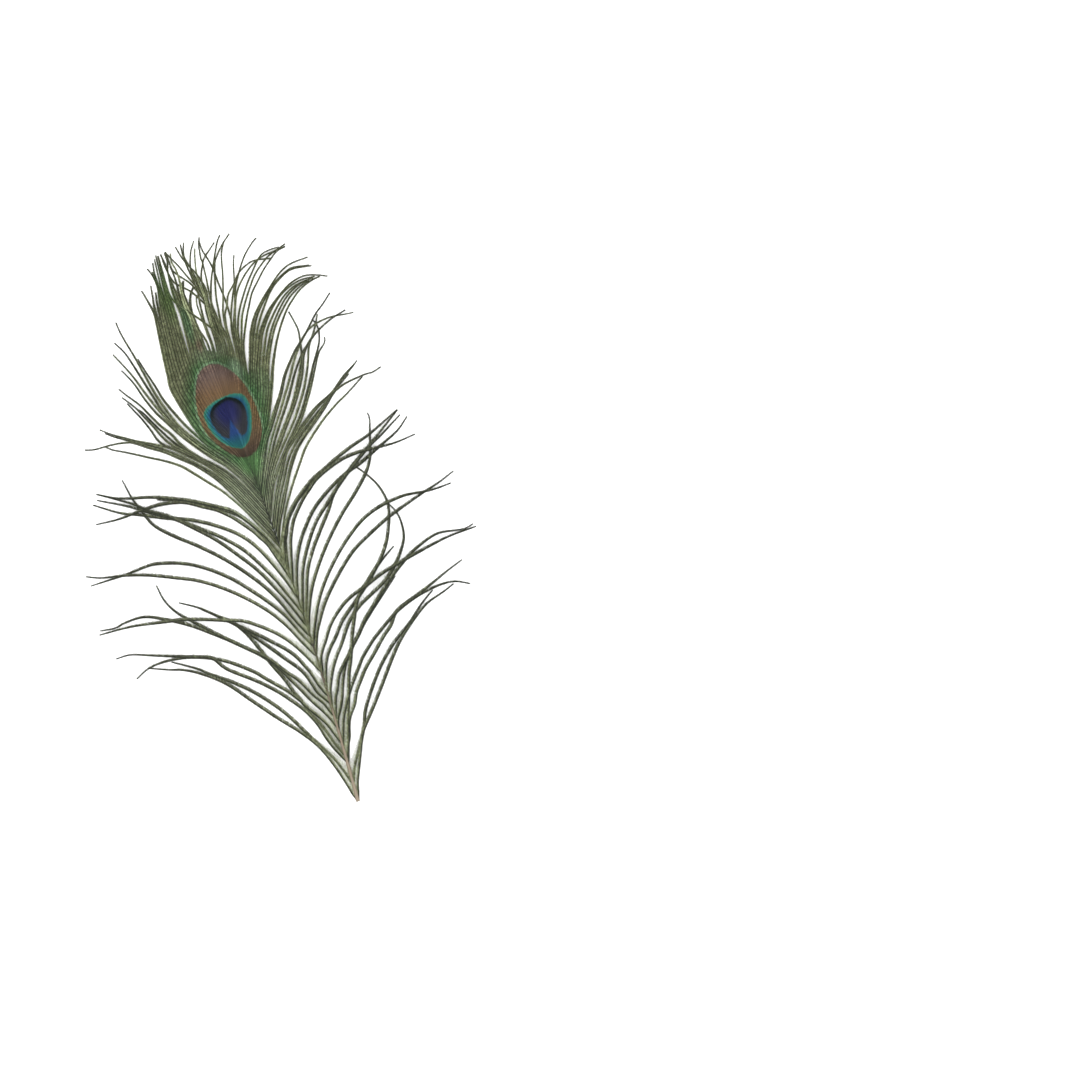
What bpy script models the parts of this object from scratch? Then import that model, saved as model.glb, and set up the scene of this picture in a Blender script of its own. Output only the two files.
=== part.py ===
"""A peacock's tail covert with one eye, lying face up on its shaft.

The whole feather grew as one piece, so it is one solid: a bowed shaft with a flat underside, the two
fluted halves of the eye's closed vane, and the loose barbs as tapered locks rooted in the shaft or in
the vane. Plan positions are millimetres in the feather's own frame, X across and Y along the shaft
from its cut end; the finished object stands with the middle of its box over the origin.
"""
import math

import bmesh
import bpy
from mathutils import Vector

MM = 0.001

# ---- driving dimensions, millimetres ----
BOX_MIDDLE = (0.5, 140.5)      # plan point that becomes the origin
SHAFT_END_Y = 192.0            # the shaft runs out in the notch of the eye's dark heart
SHAFT_BOW = 2.6                # how far the shaft bows to the right of its chord
BOW_SPAN = 178.0               # length of that bow
SHAFT_WIDTH_CUT = 2.1          # across the shaft at the cut end
SHAFT_WIDTH_TIP = 0.5          # and where it runs out
SHAFT_TAPER = 2.2              # power of the taper between them
SHAFT_STATIONS = 33

VANE_ROOT_Y = (157.0, 191.0)   # lowest and highest barb of the closed vane on the shaft
VANE_TOP = (-1.5, 228.0)       # where the middle barbs of the vane part
VANE_OVERLAP = 0.35            # each half reaches this far past the shaft's axis
VANE_UNDERSIDE = 0.35          # height of the vane's underside at the shaft
VANE_THICKNESS = 0.9
VANE_FLUTE = 0.35              # height of the ridges along the barbs
VANE_DISH = 1.4                # rise of the vane's edge over its middle
VANE_HALF_WIDTH = 24.0
VANE_LANES = 12                # barb lines across one half
VANE_STATIONS = 9              # points along each line

STATION_SPACING = 9.5          # along a lock
FEWEST_STATIONS = 6
LOCK_RIDGE = 1.1               # height of a lock's ridge over its base, at full width
LOCK_TIP_HEIGHT = 0.35         # of a tip over the surface that the feather lies on
LOCK_TIP_WIDTH = 0.45
LOCK_ROOT_WIDTH = 0.9
ROOT_SHARE = 0.12              # of the length, over which a lock widens
TIP_SHARE = 0.45               # of the length, over which it narrows
LAYERS = 3                     # neighbouring locks lie over each other in this many layers

# ---- edges of the closed vane, from the shaft up ----
LEFT_EDGE = [(0.8, 157), (-3, 168), (-8.5, 176), (-15, 184.2), (-20.5, 195), (-24.2, 209),
             (-24.4, 219), (-23.4, 230)]
RIGHT_EDGE = [(0.9, 157), (6, 171.5), (12, 181.5), (18.3, 193.5), (22.5, 203), (26, 210)]

# ---- routes of the locks, root first ----
LEFT_LOOSE = [
    [(0.2, 3), (-5, 20), (-12, 36), (-24, 50), (-42.3, 73.3), (-60, 86), (-75.6, 91.8)],
    [(0.3, 9), (-5.3, 25), (-17, 46.2), (-29.3, 63.4), (-48.8, 80.3), (-64.4, 91.4)],
    [(1.0, 20), (-5.7, 38.6), (-13.6, 54.3), (-28, 70), (-43, 84.5), (-53, 90), (-72, 97.2),
     (-89.3, 101.2)],
    [(1.1, 23), (-8, 46), (-15.5, 66), (-26, 93), (-36, 105), (-52.4, 117.4)],
    [(1.4, 31), (-7, 47.6), (-19, 65.3), (-38.5, 83), (-58, 91.4), (-73.6, 92.8), (-83, 88.8)],
    [(1.6, 38), (-4.8, 51), (-15, 70), (-30, 88.3), (-50, 105), (-64.5, 114), (-80, 116.2),
     (-92.4, 116.2)],
    [(1.8, 44), (-7, 61.4), (-20, 79), (-30, 88.6), (-43, 101), (-55, 113.6), (-60, 128.4)],
    [(1.9, 49.5), (-5.8, 67), (-19, 85.5), (-36, 105), (-43.6, 111.2)],
    [(2.1, 56), (-4.4, 72), (-19.5, 89.6), (-37, 106)],
    [(2.3, 64.5), (-8.3, 84.3), (-25, 99), (-44, 106.2), (-70, 112.2), (-93.4, 114.4)],
    [(2.4, 72.5), (-6.2, 90.4), (-20.4, 108.8), (-40, 124.2), (-62, 134.3), (-91, 143.1)],
    [(2.5, 77.5), (-5.3, 94.9), (-17.8, 112.4), (-35, 129), (-56, 138.2), (-73, 138), (-90, 138)],
    [(2.5, 82.5), (-5.4, 101.3), (-16.5, 120), (-35, 140), (-52, 156.1), (-59.9, 181.5)],
    [(2.5, 87.5), (-6, 109.6), (-18, 130), (-35, 149.6), (-55, 166.2), (-73.8, 179.2)],
    [(2.5, 95), (-5.5, 115), (-13.8, 130), (-30, 146.5), (-53, 163.1), (-74.5, 176.4)],
    [(2.4, 103.5), (-3.4, 120), (-15, 139.5), (-35, 153.4), (-56, 162.6), (-77.2, 174.7)],
    [(2.2, 112.5), (-5, 130.4), (-15, 147.1), (-35, 162), (-55, 164.9), (-78.6, 165.3)],
    [(2.1, 121.5), (-7, 140), (-20, 154.8), (-40, 165.6), (-60, 172.4), (-73.8, 179)],
]
RIGHT_LOOSE = [
    [(0.3, 3), (7.6, 19), (15, 34), (30, 51.7), (50, 73), (60, 80), (75.6, 85.5)],
    [(0.5, 8), (6.5, 21.4), (17, 40.5), (31, 59), (50, 74), (65.2, 85.5)],
    [(0.7, 17), (7, 37), (14.4, 56.8), (22, 76.2), (30, 92.5), (45.2, 106.2), (55.8, 124),
     (57.5, 136.4), (47.5, 154)],
    [(0.9, 21), (10, 41.8), (20.5, 57), (36, 71.3), (44.5, 80)],
    [(1.3, 30), (7.5, 42.5), (18, 58), (33, 73), (50, 82.6), (70, 86.8), (83.6, 83)],
    [(1.5, 35), (8, 50.5), (21.3, 71.5), (38, 87.8), (56, 102.4), (70, 109.6), (93.4, 109.8)],
    [(1.7, 42), (8, 56.2), (21.3, 73.6), (34, 82.5), (56, 86), (75, 92.4), (83, 95.2)],
    [(1.9, 50), (8.5, 64), (22, 82.4), (30, 92), (44.8, 96.8), (58, 110), (61, 122), (57.9, 131)],
    [(2.2, 57), (11, 74.7), (22, 87), (33, 96), (45, 105.5), (53.8, 111.5)],
    [(2.3, 64), (7.6, 76.8), (25, 93.4), (45, 100.5), (66, 105.2), (94.5, 108.3)],
    [(2.4, 72.5), (8, 86), (25, 106.6), (45, 120.3), (65, 128.2), (92.4, 136.8)],
    [(2.5, 77), (9.8, 93.7), (25, 113.2), (45, 128.2), (65, 132.8), (89.5, 131.7)],
    [(2.5, 84), (9.5, 102), (25, 123), (44.5, 140.9), (56.5, 155.4), (61.5, 176)],
    [(2.5, 87), (11, 112), (22.5, 128.5), (45, 152), (57, 160.4), (75.8, 173.2)],
    [(2.5, 94), (10, 115.5), (23, 134), (40, 148.4), (59, 161), (76.3, 170.5)],
    [(2.4, 101), (11, 125), (24, 140.4), (44, 151.6), (62, 158.8), (79.2, 168.5)],
    [(2.2, 116), (8.5, 136.5), (20, 148.5), (36, 157.6), (51.5, 163.5), (75.8, 172.6)],
    [(2.1, 121), (8, 134), (21.3, 147.6), (41.3, 157.8), (60, 158.8), (80.5, 159.3)],
]
LEFT_BAND = [
    [(1.9, 128), (-3.8, 140.2), (-14.5, 159.6), (-30, 177.5), (-50, 191.3), (-63.2, 199.6)],
    [(1.9, 132), (-4, 144), (-14, 163), (-30, 182), (-46, 194.5), (-60, 199.3), (-72.3, 200.8)],
    [(1.7, 137), (-4, 148.5), (-14, 167.5), (-28.3, 184.6), (-45, 196), (-63, 207.6)],
    [(1.6, 140.5), (-5, 156), (-20, 177.5), (-33, 188.5), (-39.5, 199), (-46.6, 215.5)],
    [(1.5, 143.5), (-5, 159), (-20, 179), (-33, 194), (-48, 219.3)],
    [(1.4, 146), (-5, 162), (-19.5, 180.3), (-33, 198), (-48, 223.8)],
]
LEFT_FAN = [
    [(1.3, 148.5), (-5, 165), (-18.5, 182.5), (-29.5, 199), (-37, 216.5), (-44, 232)],
    [(1.1, 151), (-5, 168), (-18, 184.5), (-29.5, 202), (-39.4, 225.4), (-45.7, 240.2)],
    [(1.0, 153.5), (-5, 170.2), (-17.5, 186), (-28, 204.5), (-37.3, 229.6), (-43.3, 245.3)],
    [(0.9, 156), (-5, 172), (-16.5, 187.5), (-26.6, 207), (-32.5, 225.4), (-39.4, 254.2)],
]
RIGHT_BAND = [
    [(1.9, 128), (7, 139), (17.5, 157), (32, 173), (50, 184.7), (65, 193.3)],
    [(1.9, 132), (8, 146), (19, 163), (33, 175.5), (48, 189.8), (58, 192.8), (74.7, 195)],
    [(1.7, 137), (8, 151), (19, 166.5), (34, 181), (48, 190.4), (64.7, 201.5)],
    [(1.6, 141), (8, 156.5), (20, 171), (34, 185.4), (46, 207), (53.3, 217)],
    [(1.5, 145), (8, 160), (20, 175.5), (34, 193), (47.5, 212), (51.6, 220), (50.3, 226.4)],
    [(1.4, 148), (8, 163), (19, 178.6), (32, 199), (45.6, 216.3), (67, 226.4)],
    [(1.2, 151), (7.5, 165.5), (18, 182), (29, 200.6), (42.5, 218), (52, 224.3), (70.3, 224)],
    [(1.0, 154), (7, 168), (16, 184), (26, 199), (36, 212.4), (48.4, 224.4), (62.3, 236)],
]
RIGHT_FAN = [
    [(14, 190), (22.5, 206), (31, 220.5), (41, 235), (50, 242.6), (63.8, 244.3)],
    [(14, 194), (21.5, 210), (29, 225), (38, 236.8), (48, 244.6), (60, 246)],
    [(13, 198), (19.8, 216), (26, 231), (33.4, 240.2), (46, 247), (61, 245.8)],
    [(12, 202), (17.6, 218), (23.4, 234), (33, 246), (45, 252.4), (58, 251.6)],
    [(12, 204), (17, 222), (22.4, 236), (32, 247.4), (45, 254), (57.5, 255.7)],
]
TOP_FRINGE = [
    [(-21.6, 212), (-21.4, 230), (-21, 246), (-23, 265)],
    [(-18.4, 212), (-18.8, 230), (-18.4, 248), (-18, 266)],
    [(-15.4, 213), (-16.4, 232), (-17, 252), (-17.5, 274)],
    [(-12.6, 214), (-13.8, 232), (-14.2, 252), (-14.2, 276)],
    [(-9.8, 215), (-11, 232), (-11.6, 254), (-11.5, 279.5)],
    [(-7, 216), (-8.2, 234), (-8.8, 256), (-7.2, 279)],
    [(-4.4, 217), (-5.4, 234), (-5.6, 256), (-4.3, 278.5)],
    [(-2.2, 218), (-2.6, 236), (-2.4, 258), (-1.3, 280)],
    [(0.4, 218), (0.6, 236), (1.2, 258), (1.3, 281)],
    [(2.6, 217), (3.2, 236), (3.4, 256), (3, 280.5)],
    [(4.4, 216), (6, 228), (4.5, 234), (0, 242), (-6, 250), (-11, 258.5)],
    [(5, 214), (6.6, 234), (4.4, 249), (-1.5, 258), (-8.5, 266.4)],
    [(6, 213), (8, 234), (7.4, 256), (8, 280)],
    [(7.6, 212), (10, 232), (12.4, 250), (12.2, 267), (11, 281)],
    [(8.4, 211), (10.4, 236), (12, 258), (16, 271.5), (20.7, 279)],
    [(9.6, 210), (12, 236), (17, 256), (25, 278)],
    [(10.6, 208), (13.4, 230), (18.4, 246), (26, 261), (37, 272.6)],
    [(11.4, 206), (14.8, 228), (21, 243), (33.3, 260.8)],
    [(12, 204), (16, 226), (23, 241.5), (36, 256.6), (49.3, 265.2)],
]
HOOKED = [
    [(37, 229.5), (39.6, 232.4), (41.4, 229.8), (42.3, 221.8), (40.4, 215)],
]
# family: routes, full width, rise of the arch in its lowest and its highest layer
LOCKS = {
    "left_loose": (LEFT_LOOSE, 1.9, 1.6, 4.4),
    "right_loose": (RIGHT_LOOSE, 1.9, 1.4, 4.2),
    "left_band": (LEFT_BAND, 2.6, 1.2, 2.6),
    "right_band": (RIGHT_BAND, 2.6, 1.1, 2.5),
    "left_fan": (LEFT_FAN, 2.6, 1.3, 2.7),
    "right_fan": (RIGHT_FAN, 2.8, 1.0, 2.2),
    "top_fringe": (TOP_FRINGE, 2.5, 0.6, 1.6),
    "hooked": (HOOKED, 1.3, 0.2, 0.2),
}


def clear_scene():
    for thing in list(bpy.data.objects):
        bpy.data.objects.remove(thing, do_unlink=True)


def place(x, y, z):
    """A point in millimetres from the cut end, as metres from the middle of the box."""
    return Vector(((x - BOX_MIDDLE[0]) * MM, (y - BOX_MIDDLE[1]) * MM, z * MM))


def mix(a, b, t):
    return a + (b - a) * t


def ease(t):
    """Smooth step from 0 to 1."""
    t = max(0.0, min(1.0, t))
    return t * t * (3 - 2 * t)


def shaft_x(y):
    """The shaft's axis bows as half a sine wave."""
    return SHAFT_BOW * math.sin(math.pi * y / BOW_SPAN)


def shaft_width(y):
    left = 1 - y / SHAFT_END_Y
    return SHAFT_WIDTH_TIP + (SHAFT_WIDTH_CUT - SHAFT_WIDTH_TIP) * max(left, 0.0) ** SHAFT_TAPER


def vane_rise(x):
    """The closed vane is a shallow dish, lowest along its middle."""
    return VANE_DISH * min(1.0, abs(x) / VANE_HALF_WIDTH) ** 2


def smooth_route(points, count):
    """Points evenly spaced by length along the Catmull-Rom curve through the given ones."""
    pts = [Vector(p) for p in points]
    pts = [2 * pts[0] - pts[1]] + pts + [2 * pts[-1] - pts[-2]]
    fine = []
    for a, b, c, d in zip(pts, pts[1:], pts[2:], pts[3:]):
        for k in range(16):
            t = k / 16
            fine.append(0.5 * (2 * b + (c - a) * t + (2 * a - 5 * b + 4 * c - d) * t ** 2
                               + (3 * b - a - 3 * c + d) * t ** 3))
    fine.append(pts[-2])
    reach = [0.0]
    for p, q in zip(fine, fine[1:]):
        reach.append(reach[-1] + (q - p).length)
    even, at = [], 0
    for k in range(count):
        goal = reach[-1] * k / (count - 1)
        while at < len(fine) - 2 and reach[at + 1] < goal:
            at += 1
        even.append(fine[at].lerp(fine[at + 1], (goal - reach[at]) / (reach[at + 1] - reach[at])))
    return even, reach[-1]


def loft(bm, rings):
    """A closed solid through rings of the same number of points, capped at both ends."""
    loops = [[bm.verts.new(point) for point in ring] for ring in rings]
    for low, high in zip(loops, loops[1:]):
        for k in range(len(low)):
            n = (k + 1) % len(low)
            bm.faces.new((low[k], low[n], high[n], high[k]))
    bm.faces.new(loops[0])
    bm.faces.new(loops[-1])


def new_object(name, bm):
    bmesh.ops.triangulate(bm, faces=bm.faces[:])
    bmesh.ops.recalc_face_normals(bm, faces=bm.faces[:])
    mesh = bpy.data.meshes.new(name)
    bm.to_mesh(mesh)
    bm.free()
    thing = bpy.data.objects.new(name, mesh)
    bpy.context.scene.collection.objects.link(thing)
    return thing


def barb_material():
    """Dull olive keratin, the colour of the loose barbs."""
    material = bpy.data.materials.new("barb keratin")
    material.use_nodes = True
    shader = material.node_tree.nodes["Principled BSDF"]
    shader.inputs["Base Color"].default_value = (0.115, 0.120, 0.064, 1.0)
    shader.inputs["Roughness"].default_value = 0.55
    shader.inputs["Metallic"].default_value = 0.0
    return material


def shaft():
    """D section: flat below, where the feather rests, and rounded above."""
    bm = bmesh.new()
    rings = []
    for k in range(SHAFT_STATIONS):
        y = SHAFT_END_Y * k / (SHAFT_STATIONS - 1)
        x, w = shaft_x(y), shaft_width(y)
        section = [(-0.36, 0.0), (0.36, 0.0), (0.5, 0.38), (0.3, 0.78), (0.0, 0.92), (-0.3, 0.78),
                   (-0.5, 0.38)]
        rings.append([place(x + w * across, y, w * up) for across, up in section])
    loft(bm, rings)
    return new_object("feather", bm)


def vane_half(name, edge_points, side):
    """One half of the closed vane, its barb lines fanned between the shaft's line and its edge.

    Line w runs from the shaft to the top; its points are the mix of the middle line and the edge,
    in the share w. Every other line stands up as a ridge, and the whole sheet is dished.
    """
    edge, _ = smooth_route(edge_points, VANE_STATIONS)
    foot = Vector((shaft_x(VANE_ROOT_Y[1]), VANE_ROOT_Y[1]))
    top = Vector(VANE_TOP)
    rows = []
    for lane in range(VANE_LANES + 1):
        w = lane / VANE_LANES
        row = []
        for k in range(VANE_STATIONS):
            point = foot.lerp(top, k / (VANE_STATIONS - 1)).lerp(edge[k], w)
            row.append((point.x - side * VANE_OVERLAP * (1 - w), point.y, lane % 2))
        rows.append(row)
    bm = bmesh.new()
    rings = []
    for row in rows:
        under = [place(x, y, VANE_UNDERSIDE + vane_rise(x)) for x, y, _ in row]
        over = [place(x, y, VANE_UNDERSIDE + vane_rise(x) + VANE_THICKNESS + VANE_FLUTE * ridge)
                for x, y, ridge in row]
        rings.append(under + over[::-1])
    loft(bm, rings)
    return new_object(name, bm)


def lock_width(t, full):
    """Narrow at the root, full along the middle, tapering to the tip."""
    root = mix(LOCK_ROOT_WIDTH, full, ease(t / ROOT_SHARE))
    return mix(root, LOCK_TIP_WIDTH, ease((t - 1 + TIP_SHARE) / TIP_SHARE))


def lock(name, route, full, rise, root_height):
    """A tapered lock of barbs: a roof section along a smooth route that arches over the surface."""
    _, length = smooth_route(route, 8)
    points, _ = smooth_route(route, max(FEWEST_STATIONS, round(length / STATION_SPACING)))
    last = len(points) - 1
    rings = []
    for k, point in enumerate(points):
        t = k / last
        ahead = points[min(k + 1, last)] - points[max(k - 1, 0)]
        across = Vector((-ahead.y, ahead.x)).normalized()
        w = lock_width(t, full)
        ridge = LOCK_RIDGE * (0.35 + 0.65 * w / full)
        z = mix(root_height, LOCK_TIP_HEIGHT, t) + rise * math.sin(math.pi * t)
        left, right = point + across * w / 2, point - across * w / 2
        base = z - 0.3 * ridge
        rings.append([place(left.x, left.y, base), place(right.x, right.y, base),
                      place(point.x, point.y, base + ridge)])
    bm = bmesh.new()
    loft(bm, rings)
    return new_object(name, bm)


def root_height(x, y):
    """Height at which a lock starts: inside the shaft, or inside the closed vane."""
    if abs(x - shaft_x(y)) < 2 and y < VANE_ROOT_Y[0]:
        return 0.45 * shaft_width(y)
    return VANE_UNDERSIDE + vane_rise(x) + 0.4 * VANE_THICKNESS


def all_locks():
    made = []
    for family, (routes, full, low, high) in LOCKS.items():
        for number, route in enumerate(routes):
            layer = (number * 2) % LAYERS / (LAYERS - 1)
            made.append(lock(f"{family}_{number:02d}", route, full, mix(low, high, layer),
                             root_height(*route[0])))
    return made


def fuse(body, pieces):
    """Joins every piece to the body in one closed solid; the pieces stay behind as guides."""
    group = bpy.data.collections.new("fused into the feather")
    bpy.context.scene.collection.children.link(group)
    for piece in pieces:
        bpy.context.scene.collection.objects.unlink(piece)
        group.objects.link(piece)
        piece.hide_render = True
        piece.display_type = "WIRE"
    union = body.modifiers.new("Fused", "BOOLEAN")
    union.operation = "UNION"
    union.operand_type = "COLLECTION"
    union.collection = group
    union.solver = "EXACT"


def main():
    clear_scene()
    feather = shaft()
    halves = [vane_half("vane_left", LEFT_EDGE, -1), vane_half("vane_right", RIGHT_EDGE, 1)]
    fuse(feather, halves + all_locks())
    feather.data.materials.append(barb_material())


main()
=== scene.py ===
"""Peacock tail feather, lying face up: every barb with its barbules, the closed eye and the bare shaft."""

import bpy
import numpy as np
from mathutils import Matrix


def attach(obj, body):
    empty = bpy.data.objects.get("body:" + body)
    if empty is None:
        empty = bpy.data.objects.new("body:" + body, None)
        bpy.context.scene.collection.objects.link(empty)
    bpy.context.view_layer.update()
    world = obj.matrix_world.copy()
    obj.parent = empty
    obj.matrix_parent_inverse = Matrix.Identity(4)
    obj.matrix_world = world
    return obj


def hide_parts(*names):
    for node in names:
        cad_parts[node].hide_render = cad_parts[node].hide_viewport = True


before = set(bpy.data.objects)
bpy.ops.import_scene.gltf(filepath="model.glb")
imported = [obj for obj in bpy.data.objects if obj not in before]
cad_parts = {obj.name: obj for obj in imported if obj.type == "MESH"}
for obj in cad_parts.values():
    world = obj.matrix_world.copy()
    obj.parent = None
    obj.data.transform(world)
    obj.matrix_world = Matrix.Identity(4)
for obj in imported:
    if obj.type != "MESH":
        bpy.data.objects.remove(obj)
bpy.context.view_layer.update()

MM = 0.001
# Plan positions below are millimetres from the shaft's cut end, X across, Y towards the eye.
BOX_MIDDLE = np.array([0.5, 140.5])

# ---- shaft ----
SHAFT_END_Y = 192.0
SHAFT_BOW = 2.6
BOW_SPAN = 178.0
SHAFT_WIDTH_CUT = 2.1
SHAFT_WIDTH_TIP = 0.36
SHAFT_TAPER = 1.8
SHAFT_STATIONS = 150
SHAFT_SIDES = 20
SHAFT_HEIGHT = 0.9             # share of the width
SHAFT_FLAT = 0.06              # share of the height that the flat underside takes away
GROOVE_DEPTH = 0.1             # share of the height
GROOVE_WIDTH = 0.16            # share of the width
SHAFT_LIFT = 0.45              # how far it rises into the vane
SHAFT_SWELL = 0.35             # how much higher it is where the tufts grow

# ---- closed vane ----
VANE_FOOT_Y = 191.0            # where its two halves meet on the shaft
VANE_TOP = (-1.5, 228.0)
VANE_Z = 0.95
VANE_DISH = 1.3
VANE_HALF_WIDTH = 24.0
VANE_FALL = 0.6                # share of its height that it loses past the eye
WEB_LANES = 61                 # points across each half of the sheet under the eye's barbs
WEB_WIDTH = 0.985              # share of the vane's width
WEB_DROP = 0.34                # below the vane's surface
WEB_THICKNESS = 0.14
FLUTE_DEPTH = 0.08
FLUTE_STEP = 2.4               # radians of the fluting's wave from one lane to the next
LEFT_EDGE = [(0.9, 153), (-3.4, 168), (-9.2, 176.5), (-15.2, 184.8), (-20.3, 195), (-23.6, 208),
             (-24.0, 218), (-23.2, 228)]
RIGHT_EDGE = [(1.1, 153), (6.2, 170), (12, 180.8), (18, 192.5), (22, 203), (26, 211.5)]

# ---- barbs ----
STATIONS = 60                  # along every barb
PITCH = 0.25                   # real barbules are ten times as close, too fine to show, so these are coarser
RAMUS_HEIGHT = 0.46
LOWEST_RAMUS = 0.32
LOWEST_BARBULE = 0.06
TIP_Z = 0.45
WAVER_ACROSS = 0.12            # at the tip
WAVER_UP = 0.15
STEM_ASIDE = 0.3               # how far a ramus keeps aside, as a share of what its long row is longer by
OUTWARD = 0.79                 # a barbule's way out from the ramus and along it: 38 degrees forward of square
FORWARD = 0.62
LEAST_LENGTH = 0.08            # of a barbule
THICKNESS = 0.03               # half the thickness of a barbule at its root
KEEL = 0.09                    # how far a barbule's keel reaches below its root
WISP_LENGTH = 1.9              # of a barbule's length
VEIL_LENGTH = 4.4

# ---- routes of the loose barbs, root first ----
LEFT_LOOSE = [
    [(-0.7, 1.2), (-1.6, 5), (-2.6, 10), (-5.2, 20), (-9.5, 31), (-16, 40.7), (-24, 50), (-33.5, 62),
     (-42.3, 73.3), (-52, 81.4), (-60, 86), (-66, 88), (-75.6, 91.8)],
    [(0.3, 8), (-2.5, 18), (-5.3, 25), (-12, 36.5), (-20, 51.2), (-29.3, 63.4), (-38.1, 71.9),
     (-48.8, 80.3), (-53.8, 84.5), (-64.4, 91.4)],
    [(0.9, 19), (-3.1, 28), (-5.3, 35), (-6.4, 40), (-8.9, 46.2), (-11.8, 51.3), (-15.8, 56.7), (-20.1, 62.1),
     (-28, 70), (-40, 80), (-45, 87), (-53, 90), (-72, 97.2), (-82, 100.9), (-89.3, 101.2)],
    [(1.0, 22), (-1.6, 28.5), (-3.5, 35), (-5.3, 40.5), (-7.6, 45.5), (-9.6, 50), (-11.2, 55), (-13.2, 60),
     (-14.7, 65), (-16.7, 70), (-19.2, 75.5), (-21.9, 83), (-26, 93), (-31, 100.7), (-36, 105), (-43.8, 112),
     (-52.4, 117.4)],
    [(1.3, 28), (-1, 35), (-2.6, 40), (-5.4, 45), (-8.7, 50), (-11.3, 54.8), (-15, 60.2), (-19.2, 65),
     (-23.9, 70), (-28, 74.6), (-38.5, 83), (-48, 88.1), (-58, 91.4), (-68, 92.6), (-76, 91.9), (-83, 88.8)],
    [(1.5, 36), (0, 40.5), (-1.9, 45), (-4.6, 50), (-7.3, 55), (-9.6, 60), (-12.3, 65), (-14.7, 70),
     (-20.5, 78.8), (-30, 88.3), (-40, 97), (-50, 105), (-60, 111.2), (-70, 116), (-80, 116.2), (-85, 115.2),
     (-92.4, 116.2)],
    [(1.8, 42), (0.5, 45), (-1.2, 50), (-4.4, 55), (-6.8, 60), (-9.6, 65), (-13.5, 69.8), (-20, 79),
     (-30, 88.3), (-43, 101), (-49, 107), (-55, 113.6), (-58.6, 120.5), (-60, 128.4)],
    [(1.9, 48.5), (-2, 55), (-3.5, 60), (-4.9, 65), (-7.5, 70), (-12, 76), (-19, 85.5), (-28, 97),
     (-36, 105), (-43, 111)],
    [(2.1, 52), (0.7, 55), (-0.9, 60), (-2.2, 65), (-4.2, 70), (-6.5, 75), (-10.5, 80.5), (-19.5, 89.6),
     (-28.5, 98), (-37, 106)],
    [(2.3, 64), (-2.9, 75.7), (-8.3, 84.3), (-15, 91.4), (-25, 99), (-33, 102), (-44, 106.2), (-53, 109),
     (-62, 110.7), (-77, 113.3), (-93.4, 114.4)],
    [(2.4, 72), (-2.1, 81.4), (-6.2, 90.4), (-12, 99.4), (-20.4, 108.8), (-30, 117.3), (-40, 124.2),
     (-50, 129), (-62, 134.3), (-73.4, 137.9), (-84, 140.2), (-91, 143.1)],
    [(2.5, 77), (-1.7, 86.2), (-5.3, 94.9), (-11, 103.8), (-17.8, 112.4), (-25, 120.6), (-35, 129),
     (-45, 134.7), (-56, 138.2), (-62, 138.7), (-73, 138), (-90, 138)],
    [(2.5, 82), (-1.6, 91.4), (-5.4, 101.3), (-10, 110.5), (-16.5, 120), (-25, 130.2), (-35, 140),
     (-45, 148.6), (-52, 156.1), (-55, 163), (-58, 171.6), (-59.9, 181.5)],
    [(2.5, 87), (-2, 100.4), (-6, 109.6), (-11.2, 120), (-18, 130), (-25.6, 140), (-35, 149.6), (-44, 158),
     (-52, 163.4), (-58, 168.7), (-65.7, 174), (-73.8, 179.2)],
    [(2.5, 94), (-1.5, 105), (-5.5, 115), (-13.8, 130), (-22.5, 140), (-30, 146.5), (-40, 154.6),
     (-53, 163.1), (-61, 168.6), (-74.5, 176.4)],
    [(2.4, 102), (-1.5, 115), (-8, 130), (-15, 139.5), (-25, 147.5), (-35, 153.4), (-45, 157.4),
     (-56, 162.6), (-66, 167), (-77.2, 174.7)],
    [(2.2, 111), (-2.7, 129.3), (-5, 133.7), (-7.3, 138), (-10, 141.7), (-15, 148), (-21, 153.6),
     (-27, 157.2), (-35, 162), (-45, 164.4), (-55, 164.9), (-67, 164.4), (-78.6, 165.3)],
    [(2.1, 116), (-2.4, 131), (-6, 139.4), (-10.8, 146.6), (-14.4, 150), (-20.5, 154.4), (-27.5, 158.6),
     (-38, 164), (-47, 167.6)],
    [(2.1, 120), (-2, 132.7), (-4, 136.7), (-6.7, 141), (-9.3, 145), (-14, 151), (-20, 155), (-30, 160.9),
     (-40, 165.6), (-50, 169.5), (-60, 172.4), (-66.2, 174.8), (-73.8, 179.2)],
]
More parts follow.
